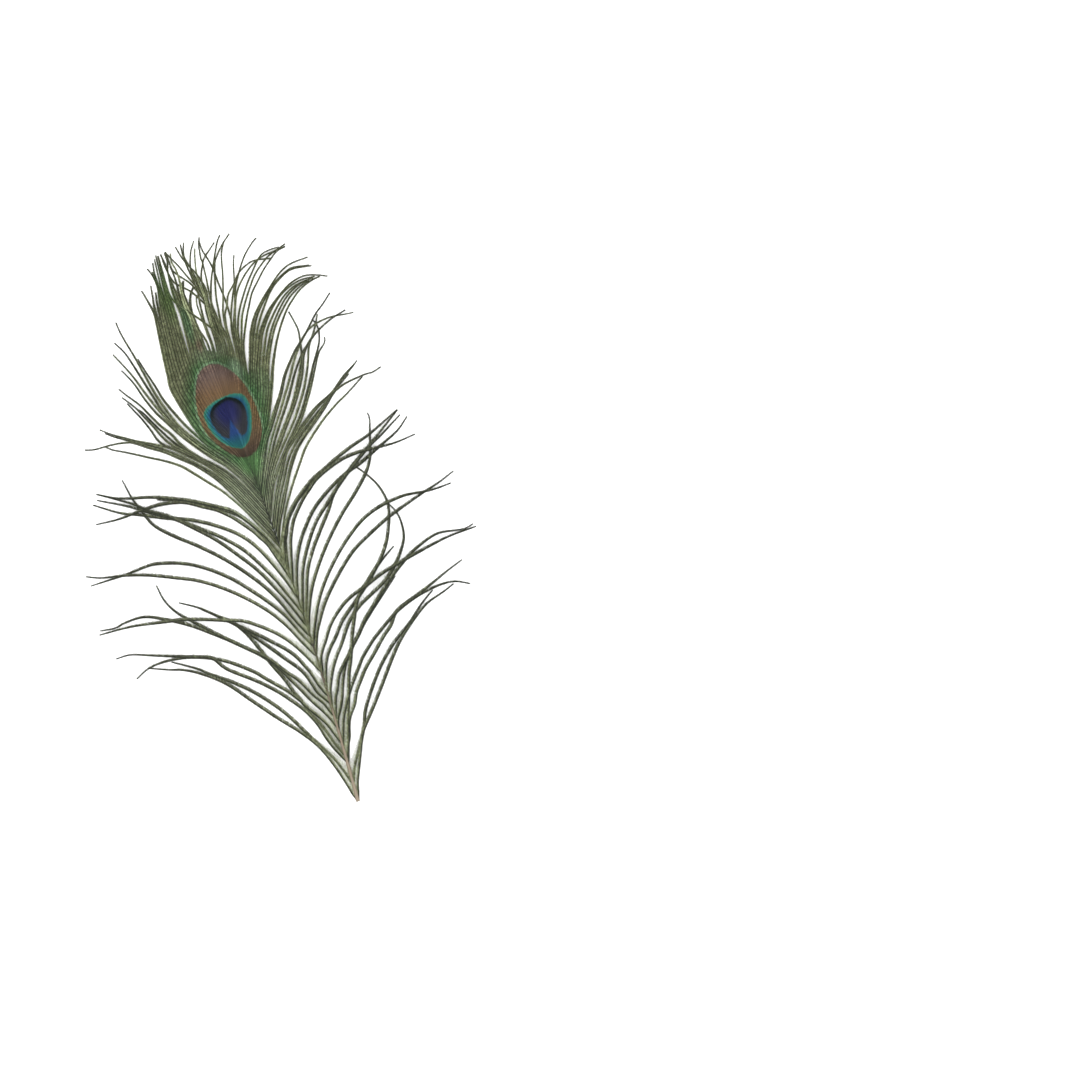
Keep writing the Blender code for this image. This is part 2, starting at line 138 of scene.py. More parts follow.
RIGHT_LOOSE = [
    [(0.9, 1.2), (1.7, 5), (3.1, 10), (7, 19), (12, 30), (15, 34), (22, 42), (30, 51.7), (37, 60.3), (43, 67),
     (50, 73), (60, 80), (70, 83.4), (75.6, 85.5)],
    [(0.5, 8), (3.4, 16), (6.5, 21.4), (13, 31.5), (17, 40.5), (23.2, 49.5), (31, 59), (40, 67.2), (50, 74),
     (57.8, 80.5), (65.2, 85.5)],
    [(0.7, 17), (3, 24), (4.9, 30), (8, 40), (11.6, 50), (15.1, 60), (17.5, 65), (20, 71), (22, 76.2),
     (24.4, 81.4), (30, 92.3), (37, 99), (45.2, 106.2), (51.4, 114.2), (55.8, 124), (57.7, 132),
     (55.9, 141.2), (51.5, 149), (47.5, 154)],
    [(0.9, 20), (3.6, 26.5), (5.7, 31), (7, 35.5), (9, 40), (13, 45), (15.5, 50), (19.4, 55), (23.7, 60),
     (29.3, 65), (36, 71.3), (41, 75.2), (44, 79), (46.5, 81.4), (56, 85), (65, 88.3), (75, 92.4),
     (83, 95.2)],
    [(1.2, 26), (2.6, 31), (3.9, 35), (5.6, 40), (8.4, 45), (11, 49), (13.7, 53), (19.4, 60), (23.5, 65),
     (29.1, 70), (33, 73), (43, 79.3), (50, 82.6), (60, 85.5), (70, 86.8), (77, 86.2), (83.6, 83)],
    [(1.5, 33), (2, 36.5), (3.3, 41), (5.7, 45), (8.2, 50), (10.1, 55), (12.3, 60), (15.1, 65), (18, 68.6),
     (21, 72), (25, 76), (30, 81.8), (36, 87), (46, 95.3), (56, 102.4), (65, 107.4), (76, 110.7), (88, 108.9),
     (93.4, 109.8)],
    [(1.8, 40), (3.4, 45), (4.8, 50), (7.5, 55), (9.8, 60), (14, 64.8), (17, 67.5), (19.5, 70.5), (25, 75.8),
     (30, 81), (40, 89.5), (50, 97.6)],
    [(2.1, 46), (2.8, 50), (3.9, 55), (6, 60), (8.7, 65), (12.3, 70), (16, 74.3), (22, 82.4), (29, 88.4),
     (37, 92.6), (44.8, 96.6), (52.5, 103), (58, 110), (60.4, 115), (61, 122), (60, 127), (57.9, 131)],
    [(2.2, 55), (3.4, 60), (4.8, 65), (7.1, 70), (10.5, 74.5), (14, 78), (20, 85), (28.3, 91.5), (37, 98.2),
     (45, 105.5), (53.8, 111.5)],
    [(2.3, 61), (3.4, 66), (4.1, 70), (6, 74), (9, 78), (15, 86), (25, 93.4), (36, 97.2), (45, 100.5),
     (55, 103), (66, 105.2), (80, 107.5), (94.5, 108.3)],
    [(2.4, 72), (5.5, 81), (8, 86), (15, 96.2), (25, 106.6), (35, 115), (45, 120.3), (55, 124.8),
     (65, 128.2), (75, 131.2), (85, 134), (92.4, 136.8)],
    [(2.5, 76.5), (5, 83.5), (9.8, 93.7), (16.2, 103.4), (25, 113.2), (35, 121.8), (45, 128.2), (55, 131.5),
     (65, 132.8), (70, 132.6), (80, 131.4), (89.5, 131.7)],
    [(2.5, 83), (5, 91.6), (9.5, 102), (16, 112), (25, 123), (35, 133), (44.5, 140.9), (52, 148.2),
     (56.5, 155.4), (59.8, 166.6), (61.7, 173), (61.5, 176)],
    [(2.5, 87), (5.5, 97), (11, 112), (16.5, 121), (22.5, 128.5), (30, 137.3), (35, 144), (45, 152),
     (57, 160.4), (65, 165.8), (75.8, 173.2)],
    [(2.5, 92), (6, 105), (10, 115.5), (16.5, 126), (23, 134), (30, 140), (40, 148.4), (50, 155.4),
     (59, 161), (65.3, 164), (76.3, 170.5)],
    [(2.4, 100), (6, 114), (11, 125), (16.4, 132.5), (24, 140.4), (35, 147.5), (44, 151.6), (52, 154.3),
     (62, 158.8), (72.5, 163.4), (79.2, 168.5)],
    [(2.3, 108), (5, 118.5), (7.7, 128), (9.7, 132.7), (12, 137), (14.5, 140.3), (20, 146), (23.7, 149),
     (30, 153.5), (41.3, 157.8), (50, 159.2), (60, 158.8), (70, 158.3), (80.5, 159.3)],
    [(2.2, 114), (5, 128), (7, 132.5), (9, 137), (11.5, 140.5), (17, 146), (20.3, 148.4), (27, 153),
     (38.2, 158.5), (47, 162), (51.5, 163.5), (60, 166.2), (75.8, 173.2)],
    [(2.1, 119), (4.6, 129), (8, 136.4), (13.2, 143.2), (19.6, 148.5), (30, 155.2), (42, 159.6)],
]
# ---- routes of the denser tufts beside the eye ----
LEFT_TUFTS = [
    [(1.9, 127), (0.5, 131), (-3.8, 140), (-8.8, 150.4), (-15.4, 161), (-20.3, 166.8), (-27.3, 175),
     (-31.3, 179.3), (-37.7, 184), (-44, 187.7), (-50, 191.3), (-56.7, 195), (-60, 196.7), (-62.8, 199)],
    [(1.9, 129), (-1, 137.3), (-5.9, 147.2), (-11.7, 158.8), (-17.3, 168.6), (-24, 177), (-30, 182.3),
     (-36.5, 187.8), (-43.3, 192.2), (-48, 195.7), (-51.5, 197.9)],
    [(1.9, 131), (-3, 143.5), (-8, 154), (-14, 164.8), (-20, 173.5), (-23.5, 177.2), (-28.7, 181.7),
     (-35.3, 187), (-43.3, 192.7), (-48.3, 196.5), (-53.3, 198.2), (-60, 199.3), (-68.3, 199.7),
     (-72.7, 201)],
    [(1.9, 133), (-3.2, 145.5), (-8.3, 156.5), (-14.5, 167.2), (-20, 174), (-28.7, 182.6), (-38, 190.3),
     (-43, 193.8), (-48.5, 197.2), (-56, 201.7), (-61, 205.4)],
    [(1.8, 136), (-3.6, 148.5), (-9, 160), (-15, 170.2), (-20, 176.6), (-28.7, 185), (-33, 188.8),
     (-41.7, 193.8), (-48, 197.3), (-53.3, 200.8), (-58.7, 204.4), (-62.8, 208)],
    [(1.7, 139), (-3.8, 151.5), (-9.2, 162.8), (-15, 171.6), (-20, 177.4), (-26, 182.8), (-31, 187.4),
     (-35.7, 191.3), (-38, 195), (-39.3, 199.7), (-41.7, 206), (-44.3, 211.3), (-46.5, 215.7)],
    [(1.6, 141.5), (-4, 154), (-9.4, 165), (-15, 172.8), (-20, 178.1), (-26, 184.2), (-32, 190),
     (-35.3, 195.3), (-37.7, 201.3), (-40.5, 207), (-43.3, 212.7), (-48, 219.2)],
    [(1.5, 144), (-4, 156.5), (-9.6, 167), (-15, 174), (-20, 178.9), (-26, 185.6), (-30, 190), (-34, 196.7),
     (-37, 202.3), (-40.3, 208.7), (-42, 211)],
    [(1.4, 146), (-4, 158.4), (-10, 168.5), (-15.7, 175), (-20.3, 179.4), (-24.9, 184.8), (-28.4, 190),
     (-30.7, 195), (-34.3, 200.3), (-37.7, 206.7), (-41, 213.3), (-45.7, 220), (-48, 223.7)],
    [(1.4, 148), (-3.8, 161), (-9.7, 171.4), (-15.9, 178.7), (-21.3, 185.7), (-25.7, 191.8), (-28.7, 196.7),
     (-31.3, 201.3), (-34.7, 207.3), (-37.7, 215), (-40, 223), (-42, 227.7), (-44, 231.7)],
    [(1.3, 150), (-4, 162.5), (-9.8, 172.4), (-15, 178.6), (-19, 183.2), (-24.6, 191.3), (-28.4, 198.5),
     (-32.7, 207.3), (-36, 216), (-39.3, 226.3), (-42.3, 233.3), (-45.7, 240.3)],
    [(1.2, 152), (-4, 164), (-9.8, 173.6), (-15, 180), (-22.6, 190), (-27.3, 197.7), (-31, 206),
     (-33.7, 216), (-36, 224.7), (-38.5, 234), (-40.3, 239.7), (-43.3, 245.3)],
    [(1.1, 154), (-4, 165.5), (-9.8, 174.8), (-15, 181.4), (-20.3, 188.7), (-25.7, 197.3), (-29.3, 206.3),
     (-32.2, 216), (-34.5, 227.5), (-36, 235.5), (-38, 244.5), (-38.9, 249), (-39.5, 254.5)],
    [(1.0, 156.5), (-4, 167.5), (-9.8, 176.9), (-15.3, 184), (-19.7, 191.2), (-23, 197.3), (-26.3, 204.7),
     (-29.3, 212.3), (-31, 219.3), (-33.2, 227), (-35, 234.5)],
]
RIGHT_TUFTS = [
    [(1.9, 127), (3.5, 130), (7.2, 138), (10.4, 144.3), (14.8, 151), (19.3, 157.2), (23.6, 162.8),
     (28, 168.5), (32.7, 173), (38, 177.3), (42.7, 180.7), (49.3, 184.7), (56, 188), (65, 193.3)],
    [(1.9, 129), (5.3, 138), (9.2, 145), (13, 152), (16.6, 158.4), (21, 165), (25, 170), (30, 174.5),
     (35.3, 178.5), (39.9, 182), (44, 185.2), (47.5, 188.3), (50.5, 190.6)],
    [(1.9, 131), (8, 144.8), (14, 155), (18.5, 162.5), (22, 167.5), (27.3, 172.7), (32.7, 177), (37, 180.3),
     (43, 185.2), (48.3, 189.6), (51, 191), (57, 192.9), (66, 194), (70, 193.8), (74.7, 195)],
    [(1.8, 133.5), (8, 147.6), (14, 158), (18.8, 166), (23, 170.7), (28, 175.2), (32.9, 179), (38.1, 182.8),
     (44.5, 187.1), (49.4, 190.6), (54, 193.4), (59, 196.4)],
    [(1.7, 136), (8, 150.4), (14, 161), (19, 169.6), (24, 173.9), (28.7, 177.7), (33, 181), (39.3, 185.3),
     (46, 189), (50.5, 191.6), (56, 195.7), (60, 198.2), (64.7, 201.5)],
    [(1.6, 138), (8, 152.4), (14, 162.8), (19, 170.6), (24, 174.8), (28.7, 178.5), (33, 181.8),
     (39.3, 186.1), (47.5, 190), (51, 192.4), (56, 196.3), (63, 200.2)],
    [(1.6, 141), (8, 156), (14.5, 165.3), (19, 170.8), (25.3, 177), (30.3, 182.3), (35.3, 189),
     (39.8, 195.7), (43.6, 202.3), (48.2, 210.3), (51, 213), (52.7, 214.7), (53.3, 217)],
    [(1.55, 142.5), (8, 157.2), (12.5, 163.6), (19.8, 172.3), (26, 179), (32, 186), (37, 193.2),
     (40.7, 199.4), (44.5, 206), (48.3, 211.9), (50.6, 216.3), (51.7, 221.3), (51.3, 224.7), (50.3, 226.4)],
    [(1.5, 144), (8, 159), (12.5, 166), (17, 171.6), (23, 178.3), (27.7, 183.7), (32.3, 190), (36, 195.3),
     (39.7, 202), (42.7, 208.7), (45, 214.7), (49.3, 221), (52, 225.7), (53.4, 228.5)],
    [(1.4, 146), (8, 160.8), (13, 168.8), (17.5, 174.6), (24, 183), (29, 189.2), (33, 194.8), (37.8, 202.9),
     (41.3, 211.3), (44.7, 215.7), (48.7, 219), (54.7, 222.3), (60.7, 224.7), (67, 226.3)],
    [(1.3, 148), (8, 162.6), (13, 170.8), (17.5, 176.8), (24, 184.7), (28.3, 190), (32.3, 196),
     (35.3, 201.3), (38.7, 208), (40.6, 213), (41.8, 219.8), (42.3, 222.7), (42.2, 226), (40.8, 233.7)],
    [(1.2, 150), (7.8, 164), (12.6, 172.2), (16.3, 178), (21.3, 185), (26, 191.3), (30.3, 197.7),
     (34.3, 204.3), (38, 209.4), (42, 214), (48, 218.6), (50, 220.3)],
    [(1.1, 152), (7.4, 165.6), (12, 174.2), (16, 180.5), (22.7, 190), (26.7, 196), (30.7, 201.7),
     (35, 208.7), (39, 214.3), (44.7, 220.7), (48.7, 223.3), (53.3, 224.7), (59, 225.3), (65.7, 224.5),
     (70.3, 224)],
    [(1.0, 154.5), (7, 167.6), (12.3, 178.3), (16.3, 183.7), (21.7, 191.7), (25.7, 197.7), (29.5, 204.6),
     (33.7, 210), (38, 215), (44.3, 220.3), (48.3, 224.3), (52.7, 228.7), (57.3, 232), (62.5, 236.3)],
    [(0.95, 156), (5.6, 167.8), (11.2, 178.6), (15.5, 184.4), (21, 192.2), (25.2, 198.3), (29.2, 205.2),
     (33.4, 210.4)],
]
# ---- barbs of the eye: share of the way from the middle to the edge, then the route past the eye ----
EYE_LEFT = [
    (0.97, [(-23.6, 213), (-23.4, 222), (-22.6, 231), (-21.7, 240), (-20.9, 247.6), (-20.6, 252.9),
            (-21.7, 258.9), (-23.1, 265.1)]),
    (0.90, [(-21.9, 214), (-21.6, 226), (-20.4, 240), (-19.9, 250), (-19.6, 256), (-19, 260.1),
            (-18.1, 266.1)]),
    (0.83, [(-20.5, 216), (-20.3, 226), (-19.2, 240), (-18.6, 250), (-18, 257), (-17, 262.3)]),
    (0.76, [(-18.9, 217), (-18.9, 226), (-18, 240), (-17.3, 250), (-16.3, 258), (-15.5, 264.5),
            (-16.1, 270.4), (-17.5, 274.2)]),
    (0.69, [(-17.3, 218), (-17.4, 226), (-16.6, 240), (-16, 250), (-15.4, 260), (-15.2, 266), (-15.4, 272)]),
    (0.63, [(-15.8, 219), (-16, 226), (-15.4, 240), (-15, 252), (-14.9, 262), (-14.7, 271.4),
            (-13.9, 276.1)]),
    (0.57, [(-14.4, 220), (-14.6, 226), (-14.1, 240), (-13.8, 252), (-13.9, 262), (-13.3, 269),
            (-12.5, 277.6)]),
    (0.51, [(-13, 221), (-13.2, 226), (-12.8, 240), (-12.6, 252), (-12.7, 262), (-12.2, 270),
            (-11.4, 279.2)]),
    (0.45, [(-11.7, 221), (-11.9, 226), (-11.6, 240), (-11.3, 252), (-11.5, 262), (-11.2, 270),
            (-10.4, 278.6)]),
    (0.38, [(-10.3, 224), (-9.3, 232), (-8.7, 240), (-8.4, 248), (-8.9, 254), (-9.2, 262), (-8.5, 272),
            (-9.2, 278.9)]),
    (0.31, [(-8.6, 224), (-7.8, 234), (-7.5, 242), (-7.4, 250), (-7.7, 257), (-8.6, 268.9), (-7.3, 273.9),
            (-7.2, 279)]),
    (0.24, [(-6.8, 224), (-6.3, 234), (-6.2, 242), (-6.3, 250), (-6.7, 257), (-6.2, 264.5), (-6.6, 272)]),
    (0.16, [(-5, 224), (-4.9, 234), (-4.9, 242), (-4.6, 248), (-4.1, 253), (-4.3, 257.4), (-3.9, 261.4),
            (-2.6, 263.2)]),
    (0.09, [(-3.2, 226), (-3.6, 234), (-4, 240), (-4.4, 246), (-5.2, 252), (-5.2, 258), (-4.4, 264),
            (-4.5, 269.5), (-5.4, 273.9), (-4.5, 277.9)]),
    (0.03, [(-2.3, 224), (-2.9, 230), (-3, 238), (-3.6, 245), (-3.2, 250.9), (-1.3, 256.2), (1.2, 259.2)]),
]
EYE_RIGHT = [
    (0.02, [(-0.8, 230), (-1.3, 234), (-2.9, 239.3), (-4.4, 243.5), (-4.6, 248), (-4.1, 253), (-4.3, 258),
            (-2.6, 263.2)]),
    (0.05, [(0.9, 230), (0.6, 236), (0.3, 243.4), (-0.1, 249.6), (0.3, 253), (1.2, 255)]),
    (0.08, [(1.3, 230), (1, 240), (1.5, 250), (2.2, 256), (1.8, 263.7), (1.2, 269.3), (1, 274.6),
            (1.3, 280.6)]),
    (0.11, [(3, 230), (3.1, 238), (3.4, 246), (4.2, 252), (3.6, 257.4), (2.4, 266), (2.9, 269.6),
            (4.2, 273.7), (5.3, 276.2), (7.9, 280.1)]),
    (0.135, [(3.8, 230), (4, 238), (4.4, 246), (4.8, 252), (4.2, 262), (4.9, 267.8), (6.5, 274),
             (7.4, 276.5)]),
    (0.16, [(4.5, 230), (4.8, 240), (5, 248), (4.6, 254), (2.8, 266), (1.5, 272), (1.3, 275.6),
            (3.1, 280.9)]),
    (0.185, [(5.2, 231), (5, 240), (4.2, 248.5), (2.1, 252.8), (-0.7, 257.3), (-4.1, 260.9), (-5.8, 262.3),
             (-7.6, 265.1), (-9, 272), (-9.2, 278.9)]),
    (0.205, [(5.6, 232), (5.6, 242), (4.4, 250), (1.7, 257.4), (-0.4, 261.8), (-4.8, 267.4), (-6.2, 270.4),
             (-6.5, 279.2)]),
    (0.225, [(6, 233), (6, 243), (4.8, 252), (2.1, 259.6), (-0.1, 264.6), (-2.6, 270.6), (-5.4, 276.2),
             (-7, 279.2)]),
    (0.245, [(6.3, 229.5), (5.3, 232.4), (3.7, 236.8), (0.7, 241.2), (-2.6, 245.6), (-5.1, 248.9),
             (-8.3, 253.3), (-9.8, 255.1), (-10.9, 258.9), (-11, 264), (-10.6, 272), (-10.4, 278.6)]),
    (0.265, [(6.6, 231), (6.3, 240), (5.8, 248), (5.5, 259), (6.5, 264), (7.8, 266.8), (9.9, 270.6),
             (13.4, 273.5), (17.1, 276.5)]),
    (0.285, [(7, 230), (7, 240), (6.6, 247), (8.7, 254.9), (10.6, 260.3), (13.1, 265.6), (15.6, 270.9),
             (18.4, 276.2), (20.7, 279)]),
    (0.305, [(7.4, 231), (7.5, 240), (7, 248), (7.4, 254.6), (8.1, 260.9), (8.7, 269), (8.5, 270.6),
             (9.3, 276.2), (10.1, 279.3)]),
    (0.33, [(8.6, 229), (8.1, 237.1), (9, 244.6), (9.9, 250.9), (11.5, 257.4), (14.3, 266.5), (15.9, 269),
            (20, 273.7), (25.3, 278.2)]),
    (0.35, [(9.2, 230.9), (8.7, 234.6), (7.4, 239.6), (5.9, 245), (5.6, 249.6), (6.3, 254.3), (6.2, 257.4),
            (4.3, 264.6), (2.3, 268.7), (0.1, 274), (-1.2, 280.1)]),
    (0.375, [(9.4, 228), (9.9, 236.5), (11, 243.4), (12.8, 248.7), (14.6, 254.3), (16.5, 260.9),
             (18.7, 269.9), (21.7, 275.5)]),
    (0.40, [(9.9, 229), (10.1, 234), (10.7, 238.5), (11.6, 242.2), (13.4, 244.9), (15.9, 250.3), (20, 254.3),
            (24, 258.8), (28.1, 261.1), (32.8, 262.3), (40.9, 260.8)]),
    (0.45, [(11.8, 229), (12.4, 234), (14.3, 240.9), (17.8, 249.4), (20.3, 255), (22.4, 263.1),
            (24.2, 267.7)]),
    (0.47, [(11.9, 230.9), (12.4, 234), (13.4, 238), (13.8, 246.5), (13.1, 257.4), (12.9, 263.7), (12, 269),
            (10.6, 274.3), (10.4, 279.3), (11, 281)]),
    (0.49, [(12.6, 229), (13.8, 235), (17.1, 243.8), (19.6, 251.3), (22.8, 257.2), (26.5, 262.8),
            (29.9, 266.9), (34.6, 270.9), (37, 272.3)]),
    (0.51, [(13.4, 229), (14.3, 234.6), (16.8, 242.4), (20, 249.9), (24.9, 255.6), (29.6, 259.4),
            (34, 261.9), (39, 263.1), (49, 263.9)]),
    (0.535, [(14.3, 229), (15.3, 233.4), (18.1, 240.3), (22.1, 246.9), (26.5, 253.1), (30.3, 257.5),
             (35.9, 263.4), (40.9, 264.8), (45.9, 264.7)]),
    (0.57, [(11.2, 209), (12, 214.5), (12.8, 219.5), (14.2, 225), (16.6, 231.3), (19, 238), (22.3, 243.8),
            (26.5, 250), (30.9, 255.6), (35.9, 259.7), (40.6, 262.5), (49.3, 265.2)]),
    (0.60, [(12, 208), (12.8, 213.5), (13.8, 219), (15.3, 225), (17.8, 230.8), (21, 237.3), (23.8, 242.2),
            (27, 247.5), (31.5, 252.2), (35.9, 256.6), (40.6, 260.3), (44.6, 263.1), (49, 263.9)]),
]
EYE_FAN = [
    (0.63, [(13.4, 208), (15.1, 214), (17.2, 220), (19, 225.5), (21.2, 230.8), (25.4, 237.5), (31.3, 243.5),
            (36.1, 247.6), (42.1, 252.4), (48.4, 255.2), (57.7, 255.8)]),
    (0.68, [(14.6, 208), (16.2, 214), (18.5, 220), (20.4, 225.5), (22.7, 230.5), (26.9, 237.4), (34, 245.1),
            (40.3, 250), (47, 253), (50, 253.3), (57.1, 251.9)]),
    (0.725, [(15.7, 208), (17.3, 214), (19.8, 220), (21.9, 225.5), (24.3, 230.3), (28.5, 236.8),
             (35.5, 245.6), (41.5, 250), (48.4, 252.6), (58.1, 251.3)]),
    (0.77, [(16.8, 208), (18.4, 214), (21.1, 220), (23.4, 225.5), (26.2, 230.3), (32.6, 237.6), (41.2, 243.7),
            (46.8, 246.5), (53.1, 247.7), (59, 246.3), (63.8, 244.2)]),
    (0.815, [(18, 208), (19.6, 214), (22.3, 220), (24.7, 225.5), (27.5, 230), (34, 237.6), (41.2, 243.1),
             (49.9, 246.2), (58, 246)]),
    (0.87, [(19.6, 208), (21.7, 214), (24.3, 220), (26.9, 225.5), (29.6, 230), (35.8, 237), (41.8, 242),
            (48.5, 244.9), (57, 245.6)]),
    (0.92, [(21, 208), (23.2, 214), (26, 220), (29, 225.5), (32, 230), (37.6, 236.4), (43.2, 241.3),
            (50, 244.6), (54, 245.3)]),
    (0.96, [(22.2, 208), (24.4, 214), (27.3, 220), (30.4, 225.5), (33.5, 230), (39.2, 236), (44.5, 240.6),
            (51, 243.9), (55, 244.8)]),
    (1.0, [(23.2, 205), (25.6, 211), (29.8, 219.5), (33.4, 225.5), (36.6, 230), (40.6, 234.9), (44.8, 238.6),
           (49.6, 242.1), (55.5, 244.4), (60.3, 245.2)]),
]

# Families of barbs, millimetres. long and short are the barbules' lengths, on the side towards the feather's
# tip and on the other, at the shares of the barb that at names; blunt is a barbule's width at its end over
# that at its root; wisps is the share of thin ones that are longer, veil the share of the barb that has a
# third row; part is where along Y the rows get shorter, and by what share; stem is the ramus's width, rise
# how far the barb arches and droop a barbule's slope; tone is how light the barbs are by turns.
LOOSE = dict(at=(0, 0.3, 0.7, 1), long=(0.65, 1.45, 1.55, 0.3), short=(0.4, 0.5, 0.5, 0.2), blunt=0.34,
             wisps=0.16, veil=0.28, dark_edge=True, stem=0.42, part=(0, 1, 0.0), rise=(1.4, 4.2),
             droop=-0.15, tone=(0.5, 0.5))
TUFT = dict(at=(0, 0.6, 1), long=(0.5, 0.86, 0.3), short=(0.4, 0.5, 0.2), blunt=0.4, wisps=0.04,
            veil=0.0, dark_edge=False, stem=0.5, part=(0, 1, 0.0), rise=(1.2, 1.6), droop=-0.12,
            tone=(1.0, 0.5))
EYE = dict(at=(0, 0.6, 1), long=(1.0, 1.0, 0.5), short=(1.0, 1.0, 0.5), blunt=0.5, wisps=0.02,
           veil=0.0, dark_edge=False, stem=0.46, part=(248, 270, 0.5), rise=(0.5, 1.5), droop=-0.08,
           tone=(0.5, 0.5))
FRINGE = dict(EYE, long=(0.85, 0.75, 0.4), short=(0.75, 0.65, 0.4), part=(212, 232, 0.4), wisps=0.04)
FAN = dict(EYE, at=(0, 0.5, 0.65, 1), long=(1.05, 0.95, 0.62, 0.32), short=(0.95, 0.8, 0.44, 0.28),
           part=(226, 248, 0.1), rise=(0.7, 1.4), droop=-0.1)

# ---- outlines of the eye's colour zones, millimetres ----
EYE_MIDDLE = (-1.8, 196.0)
OUTLINE_SCALE = 40.0
COPPER_OUTLINE = [(-4.5, 221.3), (-8.5, 219.4), (-12, 214.2), (-14, 209), (-15.3, 203),
                  (-15.5, 196), (-14.4, 189.6), (-12, 184.8), (-9, 180.2), (-5.8, 176.8), (-2.6, 174.4),
                  (0.6, 173.5), (4.4, 174.6), (8.2, 178), (10.8, 182.6), (12, 189), (12, 195),
                  (11.2, 201), (9.9, 207.2), (7.1, 213.6), (3.5, 218.1), (-0.3, 220.8)]
RING_OUTLINE = [(0, 204.7), (-4, 204.2), (-8, 203.2), (-11.4, 201.6), (-13.2, 199), (-13.2, 195.5),
                (-12.4, 191), (-10.8, 187), (-8.6, 183.6), (-5.5, 180.6), (-3, 179.2), (-0.5, 178.3),
                (2, 179.4), (4.4, 181.9), (6.6, 185.6), (8.1, 190), (9.1, 195), (9.1, 199),
                (7.8, 202.6), (5, 204.2), (2.5, 204.8)]
HEART_OUTLINE = [(0, 203.9), (-3, 203.5), (-6, 202.6), (-8.6, 201), (-10.1, 198.6), (-10.6, 195.6),
                 (-10.1, 192), (-8.9, 188.8), (-6.9, 185.8), (-4.2, 184.5), (-0.6, 184.2), (3, 184.6),
                 (4.9, 187), (6.1, 191), (6.8, 195.6), (6.3, 198.6), (4.6, 201.4), (2.4, 203)]
NOTCH_APEX = (-1.9, 193.2)
NOTCH_SPREAD = 0.34            # half width of the notch for each millimetre below its apex

# ---- soft oval patches of colour: middle, half width, half length, strength and colour ----
# The first table lies below the green that surrounds the eye, the second over it.
PATCHES_BELOW = [((0, 158), 22, 28, 0.8, "9ba588"), ((16.5, 205), 9, 13, 0.4, "5a7d5a")]
PATCHES_ABOVE = [((2.5, 159), 5, 10, 0.6, "4f7049"), ((1.5, 170), 8, 9, 0.9, "80b273"),
                 ((8, 214.5), 5, 9, 0.75, "8aa284"), ((-1, 226.5), 13, 6, 0.6, "7d8a6e"),
                 ((-12.5, 260), 6, 20, 0.65, "56713f"), ((-7.2, 243), 3, 13, 0.7, "5a7d5a"),
                 ((-4.8, 231), 2, 5, 0.45, "80665c"), ((18.5, 235), 2.5, 6, 0.6, "6f7d40")]
VIOLET_PATCH = ((-2, 198), 8.5, 12, 1.0, "2d3163")
PALE_PATCH = ((0.9, 54), 0.9, 11, 0.6, "cdbfae")
SHADOW_LIFT = 1.9              # how much lighter barbules are made, as they shade one another
KERATIN_IOR = 1.55

# ---- camera, as the photograph frames the feather ----
VIEW_MIDDLE = (121.7, 92.3)
VIEW_WIDTH = 518.4
VIEW_TURN = -18.0

# ---- light, with places in metres and turns in degrees ----
STUDIO_LIGHT = 2.0             # bright enough that the paper burns out to white, as in the photograph
KEY_PLACE = (-0.6, 0.7, 1.3)
KEY_TURN = (-28.0, -24.0, 0.0)
KEY_SIZE = 1.4
KEY_WATTS = 6.2
FLOOR_WIDTH = 6.0


def colour(code, share=1 / STUDIO_LIGHT):
    """sRGB hex code, as seen in the bright studio light, to the linear colour that a shader takes."""
    parts = np.array([int(code[k:k + 2], 16) / 255 for k in (0, 2, 4)])
    linear = np.where(parts <= 0.04045, parts / 12.92, ((parts + 0.055) / 1.055) ** 2.4)
    return (*(share * linear), 1.0)


def ease(value, start, end):
    """Smooth step from 0 at start to 1 at end."""
    t = np.clip((value - start) / (end - start), 0.0, 1.0)
    return t * t * (3 - 2 * t)


def shaft_x(y):
    """The shaft's axis bows as half a sine wave."""
    return SHAFT_BOW * np.sin(np.pi * np.asarray(y, float) / BOW_SPAN)


def shaft_width(y):
    """The width falls as a power of the length still to go."""
    left = np.clip(1 - np.asarray(y, float) / SHAFT_END_Y, 0, 1)
    return SHAFT_WIDTH_TIP + (SHAFT_WIDTH_CUT - SHAFT_WIDTH_TIP) * left ** SHAFT_TAPER


def vane_z(x, y):
    """Height of the closed vane: a shallow dish that flattens out past the eye."""
    dish = VANE_DISH * np.clip(np.abs(x) / VANE_HALF_WIDTH, 0, 1) ** 2
    return (VANE_Z + dish) * (1 - VANE_FALL * ease(y, 226, 266))


def smooth_route(points, count=STATIONS):
    """Catmull-Rom curve through the points, resampled at even lengths."""
    p = np.asarray(points, float)
    p = np.vstack([2 * p[0] - p[1], p, 2 * p[-1] - p[-2]])
    a, b, c, d = (q[:, None] for q in (p[:-3], p[1:-2], p[2:-1], p[3:]))
    t = np.linspace(0, 1, 17)[:-1][None, :, None]
    curve = 0.5 * (2 * b + (c - a) * t + (2 * a - 5 * b + 4 * c - d) * t ** 2
                   + (3 * b - a - 3 * c + d) * t ** 3)
    curve = np.vstack([curve.reshape(-1, p.shape[1]), p[-2]])
    reach = np.append(0, np.cumsum(np.linalg.norm(np.diff(curve, axis=0), axis=1)))
    return resample(curve, np.linspace(0, reach[-1], count), reach)


def resample(line, share, at=None):
    """The points of a line at the given shares of its length, or at the given values of its own measure."""
    at = np.linspace(0, 1, len(line)) if at is None else at
    return np.stack([np.interp(share, at, line[:, k]) for k in range(line.shape[1])], -1)


def fan_sides(side, count):
    """The straight middle line and the edge curve between which one half of the closed vane fans out."""
    edge = smooth_route(LEFT_EDGE if side < 0 else RIGHT_EDGE, count)
    foot = np.array([shaft_x(VANE_FOOT_Y), VANE_FOOT_Y])
    return foot + (np.array(VANE_TOP) - foot) * np.linspace(0, 1, count)[:, None], edge


